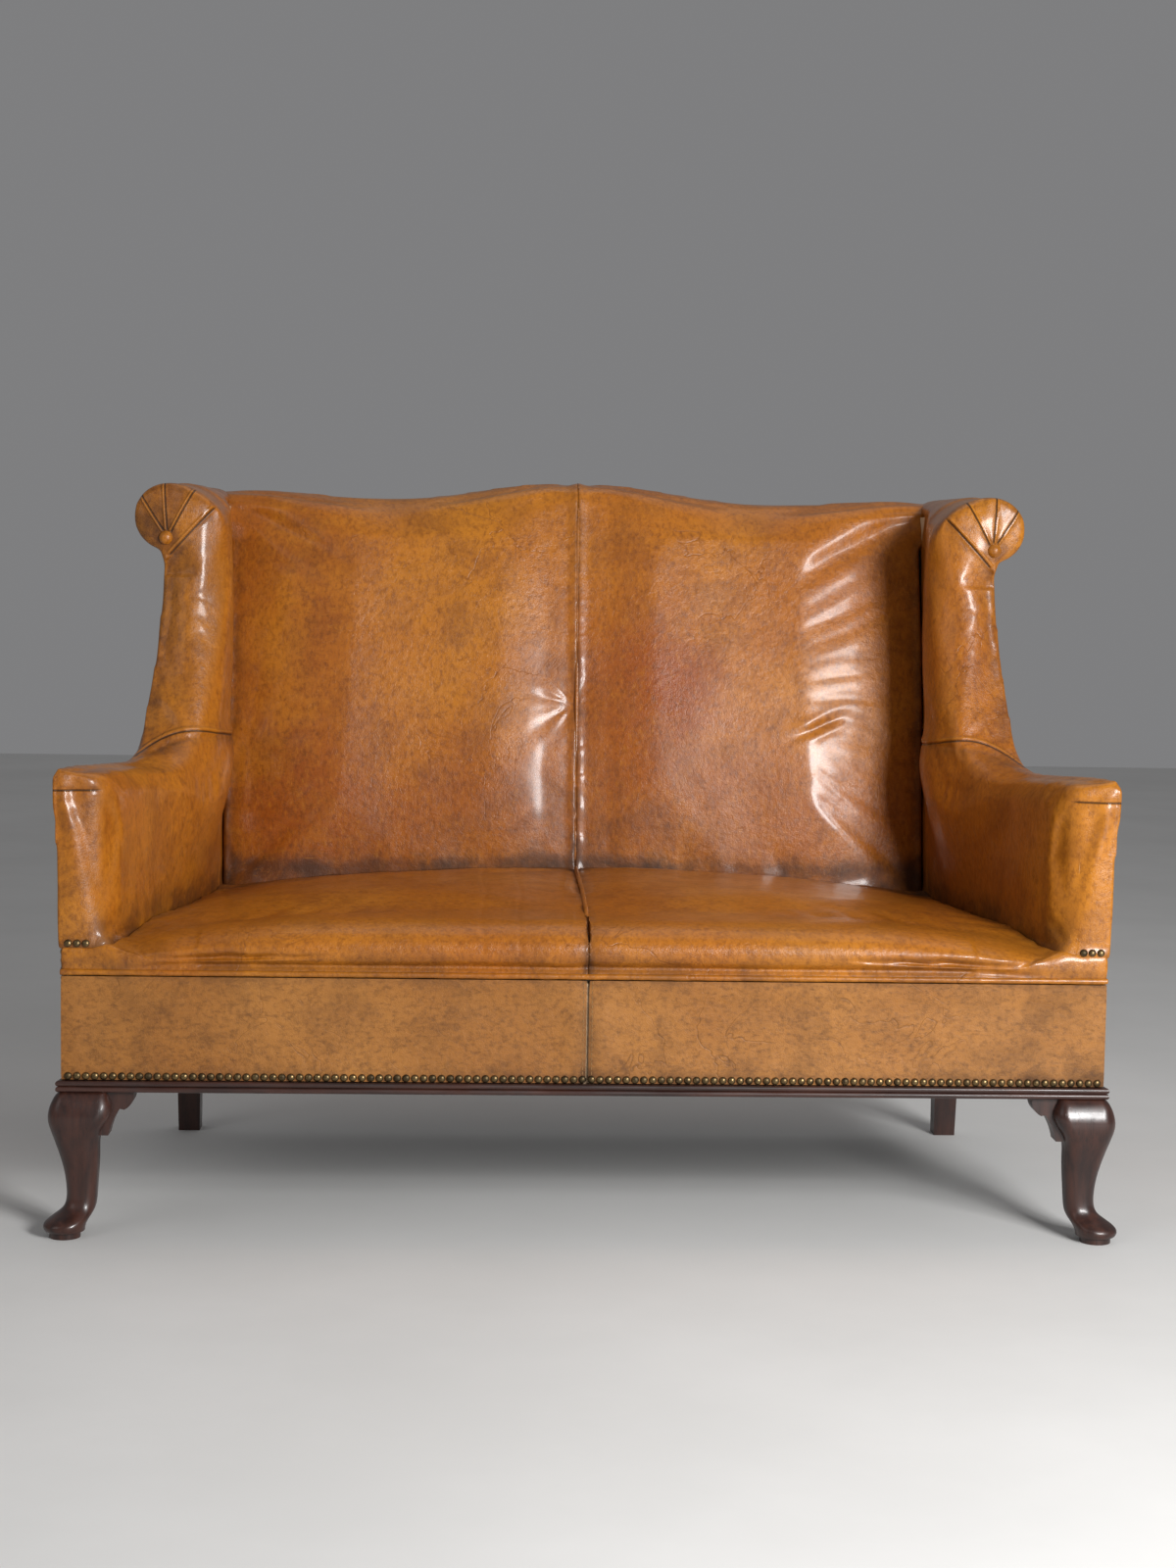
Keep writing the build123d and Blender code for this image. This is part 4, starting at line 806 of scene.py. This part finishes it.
def side_cover(side, name):
    nodes = [name + part for part in ("_arm_cover", "_wing_cover", "_scroll")]
    forms = []
    for node, level, lap in zip(nodes, (EAR_TOP, WING_SEAM, WING_TOP), (0.003, 0.014, 0.014)):
        form = copy_of(name + "_side", node)
        places = points(form)
        at_foot = places[:, 2] < level + 0.001
        if node == nodes[0]:
            at_foot &= places[:, 1] < FRONT + 0.07
        places[at_foot, 2] -= lap
        put(form, places)
        forms.append(form)
    wadding = filling((side * 0.548, FRONT + 0.6925, 0.913), (0.036, 0.029, 0.086))
    choose(*forms, wadding)
    bpy.ops.object.join()
    piece = forms[0]
    soft_mesh(piece, SIDE_VOXEL)
    places, x, y, z = placed(piece, side)
    outward = normals(piece)[:, 0] * side
    clear = side_out(y, z) - x > FRAME_DEEP
    inside = ease(-0.1, 0.45, -outward) * ease(0.39, 0.41, z) * ease(0.625, 0.595, z)
    inside *= ease(0.1, 0.17, y) * ease(0.54, 0.52, y) * clear
    places[:, 0] += side * (barrel(y, z) - x) * inside
    put(piece, places)
    x = places[:, 0] * side
    on_barrel = (y > 0.1) & (y < 0.5) & (z > 0.395) & (z < 0.67) & (outward < 0.3) & clear
    smooth_some(piece, on_barrel, 24)
    smooth_some(piece, (np.abs(z - WING_SEAM) < 0.034) & (y > 0.2) & (outward < 0.3), 20)
    smooth_some(piece, (np.abs(z - WING_TOP) < 0.02) & (x < 0.57), 10)
    smooth_some(piece, (np.abs(z - WING_TOP + 0.008) < 0.014) & (x < 0.63) & (y < 0.47), 6)
    smooth_some(piece, (z > 0.87) & (x < BUTTON[0] - 0.012) & (y < SCROLL_FRONT + 0.07), 12)
    smooth_some(piece, (y < 0.075) & (x < 0.66) & (z > 0.39) & (z < 0.62), 18)
    inside_frame = (side_out(y, z) - x < FRAME_DEEP) & (y > SIDE_EDGE) & (z < ARM_TOP - 0.012)
    inside_frame |= (side_out(y, z) - x < FRAME_DEEP) & (y > wing_front(z) + 0.015) & (z < WING_TOP)
    held = inside_frame | (outward > 0.4) & (z < WING_TOP) | (z < EAR_TOP + 0.01) | (y > 0.52)
    swell(piece, held, 0.003, 3.5, 0.006)
    smooth(piece, 1)
    refine(piece)

    places, x, y, z = placed(piece, side)
    facing = normals(piece)
    front = ease(0.5, 0.9, -facing[:, 1])
    inside = ease(0.3, 0.8, -facing[:, 0] * side)
    outside = ease(0.3, 0.8, facing[:, 0] * side)
    roll = ripple(places, 8.0, 21.0 + side) * 0.0014 + ripple(places, 28.0, 24.0 + side) * 0.0005
    below_top = ease(ARM_TOP + 0.004, ARM_TOP - 0.006, z)
    cap = ease(CAP_FOLD - 0.002, CAP_FOLD + 0.008, z) * below_top * ease(0.26, 0.2, y)
    overhang = ease(0.535, 0.56, z) * below_top * ease(0.26, 0.2, y)
    roll += 0.0012 * cap * front + 0.003 * overhang * outside
    roll -= 0.0014 * bell(z - CAP_FOLD, 0.003) * front * ease(0.04, 0.02, y)
    drag = ripple(places * np.array([1.0, 1.0, 0.22]), 38.0, 27.0 + side)
    roll += drag * 0.0012 * ease(0.47, 0.4, z) * inside
    roll += 0.005 * bell(z - EAR_TOP, 0.014) * inside
    crush = ripple(places * np.array([1.0, 1.0, 0.3]), 30.0, 29.0 + side)
    roll += crush * 0.0014 * bell(z - 0.6, 0.05) * ease(0.25, 0.34, y)
    arch = z - ARCH_PEAK[1] + ARCH_BEND * (x - ARCH_PEAK[0]) ** 2
    at_wing = ease(0.288, 0.305, y) * (1.0 - outside)
    roll += (0.0014 * bell(arch - 0.006, 0.005) - 0.0016 * bell(arch, 0.003)) * at_wing
    dx, dz = x - BUTTON[0], z - BUTTON[1]
    far = np.hypot(dx, dz)
    turn = np.degrees(np.arctan2(dz, dx))
    on_face = ease(SCROLL_FRONT + 0.05, SCROLL_FRONT + 0.014, y) * front
    hem = (x - FAN_HEM[0]) * HEM_NORMAL[0] + (z - FAN_HEM[1]) * HEM_NORMAL[1]
    at_scroll = z > WING_TOP - 0.03
    roll -= 0.0034 * ease(0.002, -0.004, hem) * ease(-0.06, -0.014, hem) * on_face * at_scroll
    fan = on_face * ease(0.0, 0.005, hem)
    for angle in PLEAT_ANGLES:
        off = np.radians(turn - angle) * far
        roll += 0.0012 * bell(off, 0.0036) * fan * ease(0.01, 0.024, far) * (np.abs(turn - angle) < 60.0)
    push(piece, roll)
    places = points(piece)
    sag = ease(0.0, 0.3, y) * ease(0.42, 0.33, y) * ease(0.535, 0.6, z) * ease(0.665, 0.625, z)
    places[:, 2] -= 0.011 * sag
    put(piece, places)

    # Painted shade and grime: darker low on the inside of the arm, under the wing seam, at the ear, round
    # the button and hem, and towards the outer edge of the wing.
    grime_and_shade = 0.6 * ease(0.44, 0.4, z) * inside + 0.4 * bell(arch + 0.004, 0.008) * at_wing
    # Painted shade on every front face of the left side.
    left_front_shade = 0.3 if side < 0 else 0.0
    grime_and_shade += 0.35 * bell(z - EAR_TOP, 0.01) + front * (0.3 * ripple(places, 9.0, 31.0) + left_front_shade)
    beside_hem = bell(hem + 0.006, 0.008) * on_face * at_scroll
    grime_and_shade += 0.35 * bell(far - 0.013, 0.006) * fan + 0.3 * beside_hem
    grime_and_shade += 0.3 * ease(-0.03, -0.01, x - side_out(y, z)) * (z > WING_SEAM)
    # Painted highlight and wear: lighter on the inner front corners and on the top at the front.
    corner = bell(facing[:, 1] + 0.7, 0.25) * bell(facing[:, 0] * side + 0.7, 0.3)
    wear_and_highlight = 0.5 * corner + 0.4 * bell(facing[:, 2] - 0.7, 0.2) * ease(0.06, 0.0, y)
    patina(piece, grime_and_shade, wear_and_highlight, 0.22 * inside + 0.2 * bell(z - 0.72, 0.06))
    finish_piece(piece, side_leather, "leather", *nodes)


for side, name in SIDES:
    seat_half(side, name)
    back_half(side, name)
    side_cover(side, name)


# Stretched panels: the outside of the arms and wings, the outside back, the border and the dust cloth
def cut_grid(piece, axis, low, high, step):
    count = int((high - low) / step)
    for index in range(1, count + 1):
        place, across = [0.0, 0.0, 0.0], [0.0, 0.0, 0.0]
        place[axis] = low + (high - low) * index / (count + 1)
        across[axis] = 1.0
        bpy.ops.mesh.select_all(action="SELECT")
        bpy.ops.mesh.bisect(plane_co=place, plane_no=across)


def panel(name, node, shown, axes, step):
    """One face of a CAD cover as a fine sheet: shown picks its faces by their normal."""
    piece = copy_of(name, node)
    low, high = (np.array(corner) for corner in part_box(node))
    edit(piece)
    bpy.ops.mesh.dissolve_degenerate(threshold=0.00005)
    bpy.ops.mesh.dissolve_limited(angle_limit=math.radians(1.0))
    bpy.ops.mesh.select_mode(type="FACE")
    bpy.ops.mesh.select_all(action="DESELECT")
    done()
    for face in piece.data.polygons:
        face.select = not shown(face.normal)
    bpy.ops.object.mode_set(mode="EDIT")
    bpy.ops.mesh.delete(type="FACE")
    bpy.ops.mesh.select_mode(type="VERT")
    for axis in axes:
        cut_grid(piece, axis, low[axis], high[axis], step)
    bpy.ops.mesh.select_all(action="SELECT")
    bpy.ops.mesh.remove_doubles(threshold=0.0003)
    done()
    return piece


def back_sheet(piece, thickness):
    skin = piece.modifiers.new("Thickness", "SOLIDIFY")
    skin.thickness = thickness
    skin.offset = -1.0
    apply_modifier(piece, "Thickness")
    choose(piece)
    bpy.ops.object.shade_smooth_by_angle(angle=math.radians(40.0))


def leather_sheet(name, columns, rows, shape, flip):
    """Sheet whose points are laid out by a function of two shares from 0 to 1."""
    bpy.ops.object.select_all(action="DESELECT")
    bpy.ops.mesh.primitive_grid_add(x_subdivisions=columns, y_subdivisions=rows, size=2.0)
    piece = bpy.context.active_object
    piece.name = name
    piece.data.name = name
    shares = (points(piece) + 1.0) / 2.0
    put(piece, np.stack(shape(shares[:, 0], shares[:, 1]), axis=1))
    if flip:
        edit(piece)
        bpy.ops.mesh.flip_normals()
        done()
    return piece


def side_top(y):
    """Top edge of the outside cover: under the arm, then up the front edge of the wing."""
    low = ARM_TOP - ARM_PAD
    foot = wing_front(WING_SEAM) + ARM_PAD
    levels = np.linspace(WING_SEAM, WING_TOP, 12)
    up_wing = np.interp(y, wing_front(levels) + ARM_PAD, levels)
    bend = np.clip((y - ARM_FLAT) / (foot - ARM_FLAT), 0.0, 1.0)
    return np.where(y < foot, low + (WING_SEAM - low) * bend**2, up_wing)


def outside_place(side, u, v):
    """Point of an outside cover at shares of its depth and height."""
    level = RAIL_BOTTOM + v * (WING_TOP - RAIL_BOTTOM)
    y = SIDE_EDGE + u * (frame_rear(level) - SIDE_EDGE)
    z = RAIL_BOTTOM + v * (side_top(y) - RAIL_BOTTOM)
    inner = ease(SIDE_EDGE, 0.09, y) * ease(FRAME_BACK, FRAME_BACK - 0.09, y)
    inner *= ease(MOULDING_TOP, MOULDING_TOP + 0.08, z) * ease(WING_TOP, WING_TOP - 0.08, z)
    flat = np.stack((0.0 * y, y, z), axis=1)
    sag = (-0.0022 + ripple(flat, 7.0, 51.0 + side) * 0.0012) * inner
    return side * (side_out(y, z) + sag), FRONT + y, z


sides = {}
for side, name in SIDES:
    piece = leather_sheet(name + "_outside", 84, 60, lambda u, v: outside_place(side, u, v), side < 0)
    back_sheet(piece, HIDE)
    places = points(piece)
    y, z = places[:, 1] - FRONT, places[:, 2]
    # Darker towards the front edge and the foot of the panel, grime and painted shade together.
    edge = 0.5 * ease(0.05, SIDE_EDGE, y) + 0.4 * ease(MOULDING_TOP + 0.04, MOULDING_TOP, z)
    patina(piece, edge + 0.2, 0.15, 0.2)
    finish_piece(piece, leather, "leather", name + "_outside_cover")
    sides[side] = piece


# Outside back: up to the camel line, and out over the ends of the scrolls
SCROLL_END = (0.5655, 0.945, 0.0395)  # across, height and radius
BACK_DIP = (0.311, 0.9555)
BACK_CREST = 0.9835
BACK_CORNER = 0.9665
SCROLL_REAR = 0.7145


def back_top(x):
    across, height, radius = SCROLL_END
    dip = BACK_DIP[1]
    hump = dip + (BACK_CREST - dip) * (1.0 + np.cos(np.pi * x / BACK_DIP[0])) / 2.0
    share = np.clip((x - BACK_DIP[0]) / (BACK_HALF - BACK_DIP[0]), 0.0, 1.0)
    corner = dip + (BACK_CORNER - dip) * (1.0 - np.cos(np.pi * share)) / 2.0
    scroll = height + np.sqrt(np.maximum(0.0, radius**2 - (x - across) ** 2))
    return np.where(x < BACK_DIP[0], hump, np.where(x < BACK_HALF + 0.008, corner, scroll))


def back_place(u, v):
    """Point of the outside back at shares of its width and height."""
    across, height, radius = SCROLL_END
    full = height + radius
    level = RAIL_BOTTOM + v * (full - RAIL_BOTTOM)
    round_end = np.sqrt(np.maximum(0.0, radius**2 - (level - height) ** 2))
    half = np.maximum(side_out(frame_rear(level), level) * (level < height), across + round_end)
    x = (2.0 * u - 1.0) * half
    z = RAIL_BOTTOM + (level - RAIL_BOTTOM) * (back_top(np.abs(x)) - RAIL_BOTTOM) / (full - RAIL_BOTTOM)
    y = frame_rear(z) + BACK_COVER
    on_scroll = ease(BACK_HALF - 0.02, BACK_HALF + 0.01, np.abs(x)) * ease(0.88, 0.905, z)
    y -= on_scroll * np.maximum(0.0, y - SCROLL_REAR)
    inner = ease(0.6, 0.5, np.abs(x)) * ease(RAIL_BOTTOM, RAIL_TOP - 0.05, z) * ease(0.96, 0.88, z)
    flat = np.stack((x, y, z), axis=1)
    return x, FRONT + y + (-0.0026 + ripple(flat, 5.0, 61.0) * 0.0016) * inner, z


outside_back = leather_sheet("outside_back_panel", 110, 70, back_place, True)
back_sheet(outside_back, HIDE)
places = points(outside_back)
x, z = np.abs(places[:, 0]), places[:, 2]
# Darker towards the foot of the panel, grime and painted shade together.
patina(outside_back, 0.2 + 0.5 * ease(0.27, 0.21, z), 0.15, 0.25)
finish_piece(outside_back, leather, "leather", "outside_back")

for side, name in SIDES:
    node = name + "_seat_border"
    piece = panel(name + "_border", node, lambda n: n.y < -0.6 or n.x * side > 0.6, (0, 2), 0.012)
    smooth(piece, 1, 0.3)
    places = points(piece)
    places[np.abs(places[:, 0]) < 0.001, 0] = side * 0.00005
    x, z = np.abs(places[:, 0]), places[:, 2]
    inner = ease(0.0, 0.05, x) * ease(HALF, HALF - 0.05, x)
    inner *= ease(MOULDING_TOP, MOULDING_TOP + 0.05, z) * ease(RAIL_TOP, RAIL_TOP - 0.03, z)
    dent = 0.0022 * inner + ripple(places * np.array([1.0, 1.0, 0.6]), 9.0, 71.0 + side) * 0.0012 * inner
    dent += 0.0016 * bell(x, 0.006)
    if side < 0:
        dent += 0.0006 * bell(x - 0.136, 0.0022)
    places[:, 1] += dent
    put(piece, places)
    back_sheet(piece, HIDE)
    places = points(piece)
    x, z = np.abs(places[:, 0]), places[:, 2]
    # Painted shade and grime: darker at the foot, at the middle seam and at the top under the welt; the
    # right half is more stained.
    grime_and_shade = 0.55 * ease(0.235, 0.205, z) + 0.5 * bell(x, 0.01) + 0.3 * ease(0.33, 0.34, z)
    grime_and_shade += 0.35 * ease(0.45, 0.62, x) * (1.0 if side > 0 else 0.25)
    patina(piece, grime_and_shade, 0.3 * bell(z - 0.318, 0.014) * (1.0 if side < 0 else 0.4), 0.1)
    finish_piece(piece, dry_leather, "border_leather", node)


# Piping, buttons and thread
def soft_trim(name, node, voxel, wander):
    piece = copy_of(name, node)
    soft_mesh(piece, voxel)
    places = points(piece)
    push(piece, ripple(places, 55.0, 81.0) * wander)
    choose(piece)
    bpy.ops.object.shade_smooth()
    places = points(piece)
    patina(piece, 0.3 + 0.3 * ripple(places, 20.0, 83.0), 0.3, 0.1)
    finish_piece(piece, leather, "leather", node)


soft_trim("front_welt", "seat_front_welt", 0.0016, 0.0005)
soft_trim("seat_piping", "seat_centre_welt", 0.0014, 0.0004)
soft_trim("back_piping", "back_centre_welt", 0.0014, 0.0004)
for name in ("right", "left"):
    soft_trim(name + "_button", name + "_scroll_button", 0.0009, 0.0003)


# Domed nails: one head is modelled, and every row is set on the panel that carries it
def nail_head():
    bpy.ops.object.select_all(action="DESELECT")
    bpy.ops.mesh.primitive_uv_sphere_add(segments=12, ring_count=8, radius=NAIL_RADIUS)
    head = bpy.context.active_object
    bpy.ops.object.mode_set(mode="EDIT")
    bpy.ops.mesh.select_all(action="SELECT")
    bpy.ops.mesh.bisect(plane_co=(0, 0, 0), plane_no=(0, 0, 1), clear_inner=True, use_fill=True)
    bpy.ops.mesh.select_all(action="SELECT")
    bpy.ops.transform.resize(value=(1.0, 1.0, 0.68))
    bpy.ops.transform.translate(value=(0.0, 0.0, -0.0004))
    done()
    return head


HEAD = nail_head()


def row_points(line, pitch):
    """Points at an even pitch along a line of points."""
    line = [Vector(point) for point in line]
    lengths = [(b - a).length for a, b in zip(line, line[1:])]
    count = max(1, round(sum(lengths) / pitch))
    found = []
    for index in range(count + 1):
        goal = sum(lengths) * index / count
        for a, b, length in zip(line, line[1:], lengths):
            if goal <= length + 1e-9:
                found.append(a.lerp(b, min(1.0, goal / length)))
                break
            goal -= length
    return found


def nail_row(name, places, carrier, *nodes):
    """Set a copy of the nail head on the carrier at each place, and join the row."""
    heads = []
    for index, place in enumerate(places):
        _, spot, normal, _ = carrier.closest_point_on_mesh(place)
        tilt = Vector((math.sin(index * 2.3), math.cos(index * 1.7), math.sin(index * 3.1)))
        normal = (normal + NAIL_TILT * tilt).normalized()
        copy = bpy.data.objects.new(name, HEAD.data.copy())
        bpy.context.scene.collection.objects.link(copy)
        turn = normal.to_track_quat("Z", "Y").to_matrix().to_4x4()
        copy.data.transform(Matrix.Translation(spot) @ turn)
        heads.append(copy)
    choose(*heads)
    bpy.ops.object.join()
    row = heads[0]
    row.name = name
    row.data.name = name
    bpy.ops.object.shade_smooth_by_angle(angle=math.radians(50.0))
    finish_piece(row, brass, "brass", *nodes)


WING_TURN = math.radians(50.4)  # how far the edge nails turn up to the wing
borders = {1: bpy.data.objects["right_border"], -1: bpy.data.objects["left_border"]}
arms = {1: bpy.data.objects["right_side"], -1: bpy.data.objects["left_side"]}
for side, name in SIDES:
    line = [(side * NAIL_PITCH / 2, FRONT, NAIL_LEVEL), (side * NAIL_END, FRONT, NAIL_LEVEL)]
    nodes = ("front_nails",) if side > 0 else ()
    nail_row(name + "_front_nails", row_points(line, NAIL_PITCH), borders[side], *nodes)
    stops = []
    for index in range(3):
        stops.append((side * (NAIL_END - index * NAIL_PITCH), FRONT, EAR_TOP + 0.0064))
    nodes = ("arm_stop_nails",) if side > 0 else ()
    nail_row(name + "_stop_nails", [Vector(p) for p in stops], arms[side], *nodes)

    under_arm = ARM_TOP - ARM_PAD - NAIL_INSET
    line = [(SIDE_EDGE + NAIL_INSET, z) for z in (NAIL_LEVEL, under_arm)]
    line += [(ARM_FLAT, under_arm)]
    corner_y = wing_front(WING_SEAM) + ARM_PAD + NAIL_INSET
    reach = (corner_y - ARM_FLAT) / math.sin(WING_TURN)
    rise = (WING_SEAM - under_arm) / (1.0 - math.cos(WING_TURN))
    for step in range(1, 7):
        swing = WING_TURN * step / 6
        line.append((ARM_FLAT + reach * math.sin(swing), under_arm + rise * (1.0 - math.cos(swing))))
    for step in range(1, 9):
        z = WING_SEAM + (WING_TOP - 0.008 - WING_SEAM) * step / 8
        line.append((wing_front(z) + ARM_PAD + NAIL_INSET, z))
    path = [(side * side_out(y, z), FRONT + y, z) for y, z in line]
    nail_row(name + "_edge_nails", row_points(path, NAIL_PITCH), sides[side])
    low = [(0.03, NAIL_LEVEL), (FRAME_BACK - 0.008, NAIL_LEVEL)]
    path = [(side * side_out(y, z), FRONT + y, z) for y, z in low]
    nail_row(name + "_base_nails", row_points(path, NAIL_PITCH), sides[side])
    rear = []
    for z in (NAIL_LEVEL + NAIL_PITCH, RAIL_TOP, WING_TOP - 0.008):
        rear.append((side * (side_out(frame_rear(z), z) - 0.008), FRONT + frame_rear(z) + BACK_COVER, z))
    nail_row(name + "_back_nails", row_points(rear, NAIL_PITCH), outside_back)
low = side_out(FRAME_BACK, RAIL_TOP) - 0.008
line = [(-low, FRONT + BASE_DEPTH, NAIL_LEVEL), (low, FRONT + BASE_DEPTH, NAIL_LEVEL)]
nail_row("back_base_nails", row_points(line, NAIL_PITCH), outside_back)
bpy.data.objects.remove(HEAD)


# Two rows of stitches beside the middle seam of the border
STITCH_OFF = 0.0055
STITCH_PITCH = 0.0062


def stitch():
    bpy.ops.object.select_all(action="DESELECT")
    bpy.ops.mesh.primitive_uv_sphere_add(segments=8, ring_count=6, radius=0.0008)
    made = bpy.context.active_object
    bpy.ops.object.mode_set(mode="EDIT")
    bpy.ops.mesh.select_all(action="SELECT")
    bpy.ops.transform.resize(value=(0.8, 0.7, 3.0))
    done()
    return made


STITCH = stitch()
stitches = []
for side in (1, -1):
    level = MOULDING_TOP + 0.014
    while level < RAIL_TOP + 0.003:
        copy = bpy.data.objects.new("border_stitches", STITCH.data.copy())
        bpy.context.scene.collection.objects.link(copy)
        _, spot, _, _ = borders[side].closest_point_on_mesh(Vector((side * STITCH_OFF, FRONT, level)))
        copy.data.transform(Matrix.Translation(spot))
        stitches.append(copy)
        level += STITCH_PITCH
choose(*stitches)
bpy.ops.object.join()
bpy.ops.object.shade_smooth()
finish_piece(stitches[0], thread_paint, "border_leather")
bpy.data.objects.remove(STITCH)


# Dust cloth under the seat, tacked round its edge and hanging slightly
cloth_low, cloth_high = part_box("dust_cover")
under = panel("dust_sheet", "dust_cover", lambda n: n.z < -0.6, (0, 1), 0.03)
places = points(under)
x, y = np.abs(places[:, 0]), places[:, 1]
hang = ease(0.6, 0.3, x) * ease(cloth_low[1], cloth_low[1] + 0.2, y)
hang *= ease(cloth_high[1], cloth_high[1] - 0.2, y)
places[:, 2] -= hang * (0.004 + 0.002 * ripple(places, 6.0, 91.0))
put(under, places)
back_sheet(under, 0.0015)
finish_piece(under, dust_cloth, "dust_cloth", "dust_cover")


# Floor, light and camera
bpy.ops.object.select_all(action="DESELECT")
bpy.ops.mesh.primitive_plane_add(size=16.0, location=(0.0, 0.0, 0.0))
floor = bpy.context.active_object
floor.name = "floor"
ground = Paint("pale_floor")
drift = ground.cloud(ground.coords(), 1.2, 6.0, 0.6)
ground_colour = ground.mix(ground.span(drift, 0.3, 0.7), (0.69, 0.685, 0.67), (0.75, 0.744, 0.73))
floor.data.materials.append(ground.surface(Base_Color=ground_colour, Roughness=0.75))

world = bpy.data.worlds.new("studio")
bpy.context.scene.world = world
world.use_nodes = True
sky = world.node_tree.nodes["Background"].inputs
sky["Color"].default_value = (0.5, 0.5, 0.51, 1.0)
sky["Strength"].default_value = 0.42


def softbox(name, place, aim, size, watts):
    lamp = bpy.data.lights.new(name, "AREA")
    lamp.shape = "RECTANGLE"
    lamp.size, lamp.size_y = size
    lamp.energy = watts
    holder = bpy.data.objects.new(name, lamp)
    bpy.context.scene.collection.objects.link(holder)
    holder.location = place
    holder.rotation_euler = (Vector(aim) - Vector(place)).to_track_quat("-Z", "Y").to_euler()


softbox("key", (2.0, -2.9, 1.85), (0.0, 0.0, 0.55), (0.7, 0.7), 50.0)
softbox("window", (1.42, -3.0, 1.33), (0.3, 0.2, 0.68), (0.6, 0.75), 82.0)
softbox("fill", (-2.8, -2.6, 2.2), (0.0, 0.0, 0.5), (2.0, 2.0), 11.0)
softbox("top", (0.4, 0.6, 3.4), (0.0, 0.0, 0.4), (2.4, 2.0), 9.0)

CAMERA = Vector((-0.13492, -3.1780 + FRONT, 0.86124))
PITCH, YAW, ROLL = 0.0838, 0.0410, 0.0158
FOCAL, FRAME_HEIGHT = 2548.07, 1600.0  # pixels
SENSOR = 36.0
level_view = Vector((math.sin(YAW), math.cos(YAW), 0.0))
forward = math.cos(PITCH) * level_view - math.sin(PITCH) * Vector((0.0, 0.0, 1.0))
right = Vector((math.cos(YAW), -math.sin(YAW), 0.0))
above = math.sin(PITCH) * level_view + math.cos(PITCH) * Vector((0.0, 0.0, 1.0))
right_axis = math.cos(ROLL) * right + math.sin(ROLL) * above
up_axis = -math.sin(ROLL) * right + math.cos(ROLL) * above
lens = bpy.data.cameras.new("camera")
lens.sensor_fit = "VERTICAL"
lens.sensor_height = SENSOR
lens.lens = FOCAL / FRAME_HEIGHT * SENSOR
camera = bpy.data.objects.new("camera", lens)
bpy.context.scene.collection.objects.link(camera)
turned = Matrix((right_axis, up_axis, -forward)).transposed()
camera.matrix_world = Matrix.Translation(CAMERA) @ turned.to_4x4()
bpy.context.scene.camera = camera
bpy.context.scene.view_settings.view_transform = "Standard"
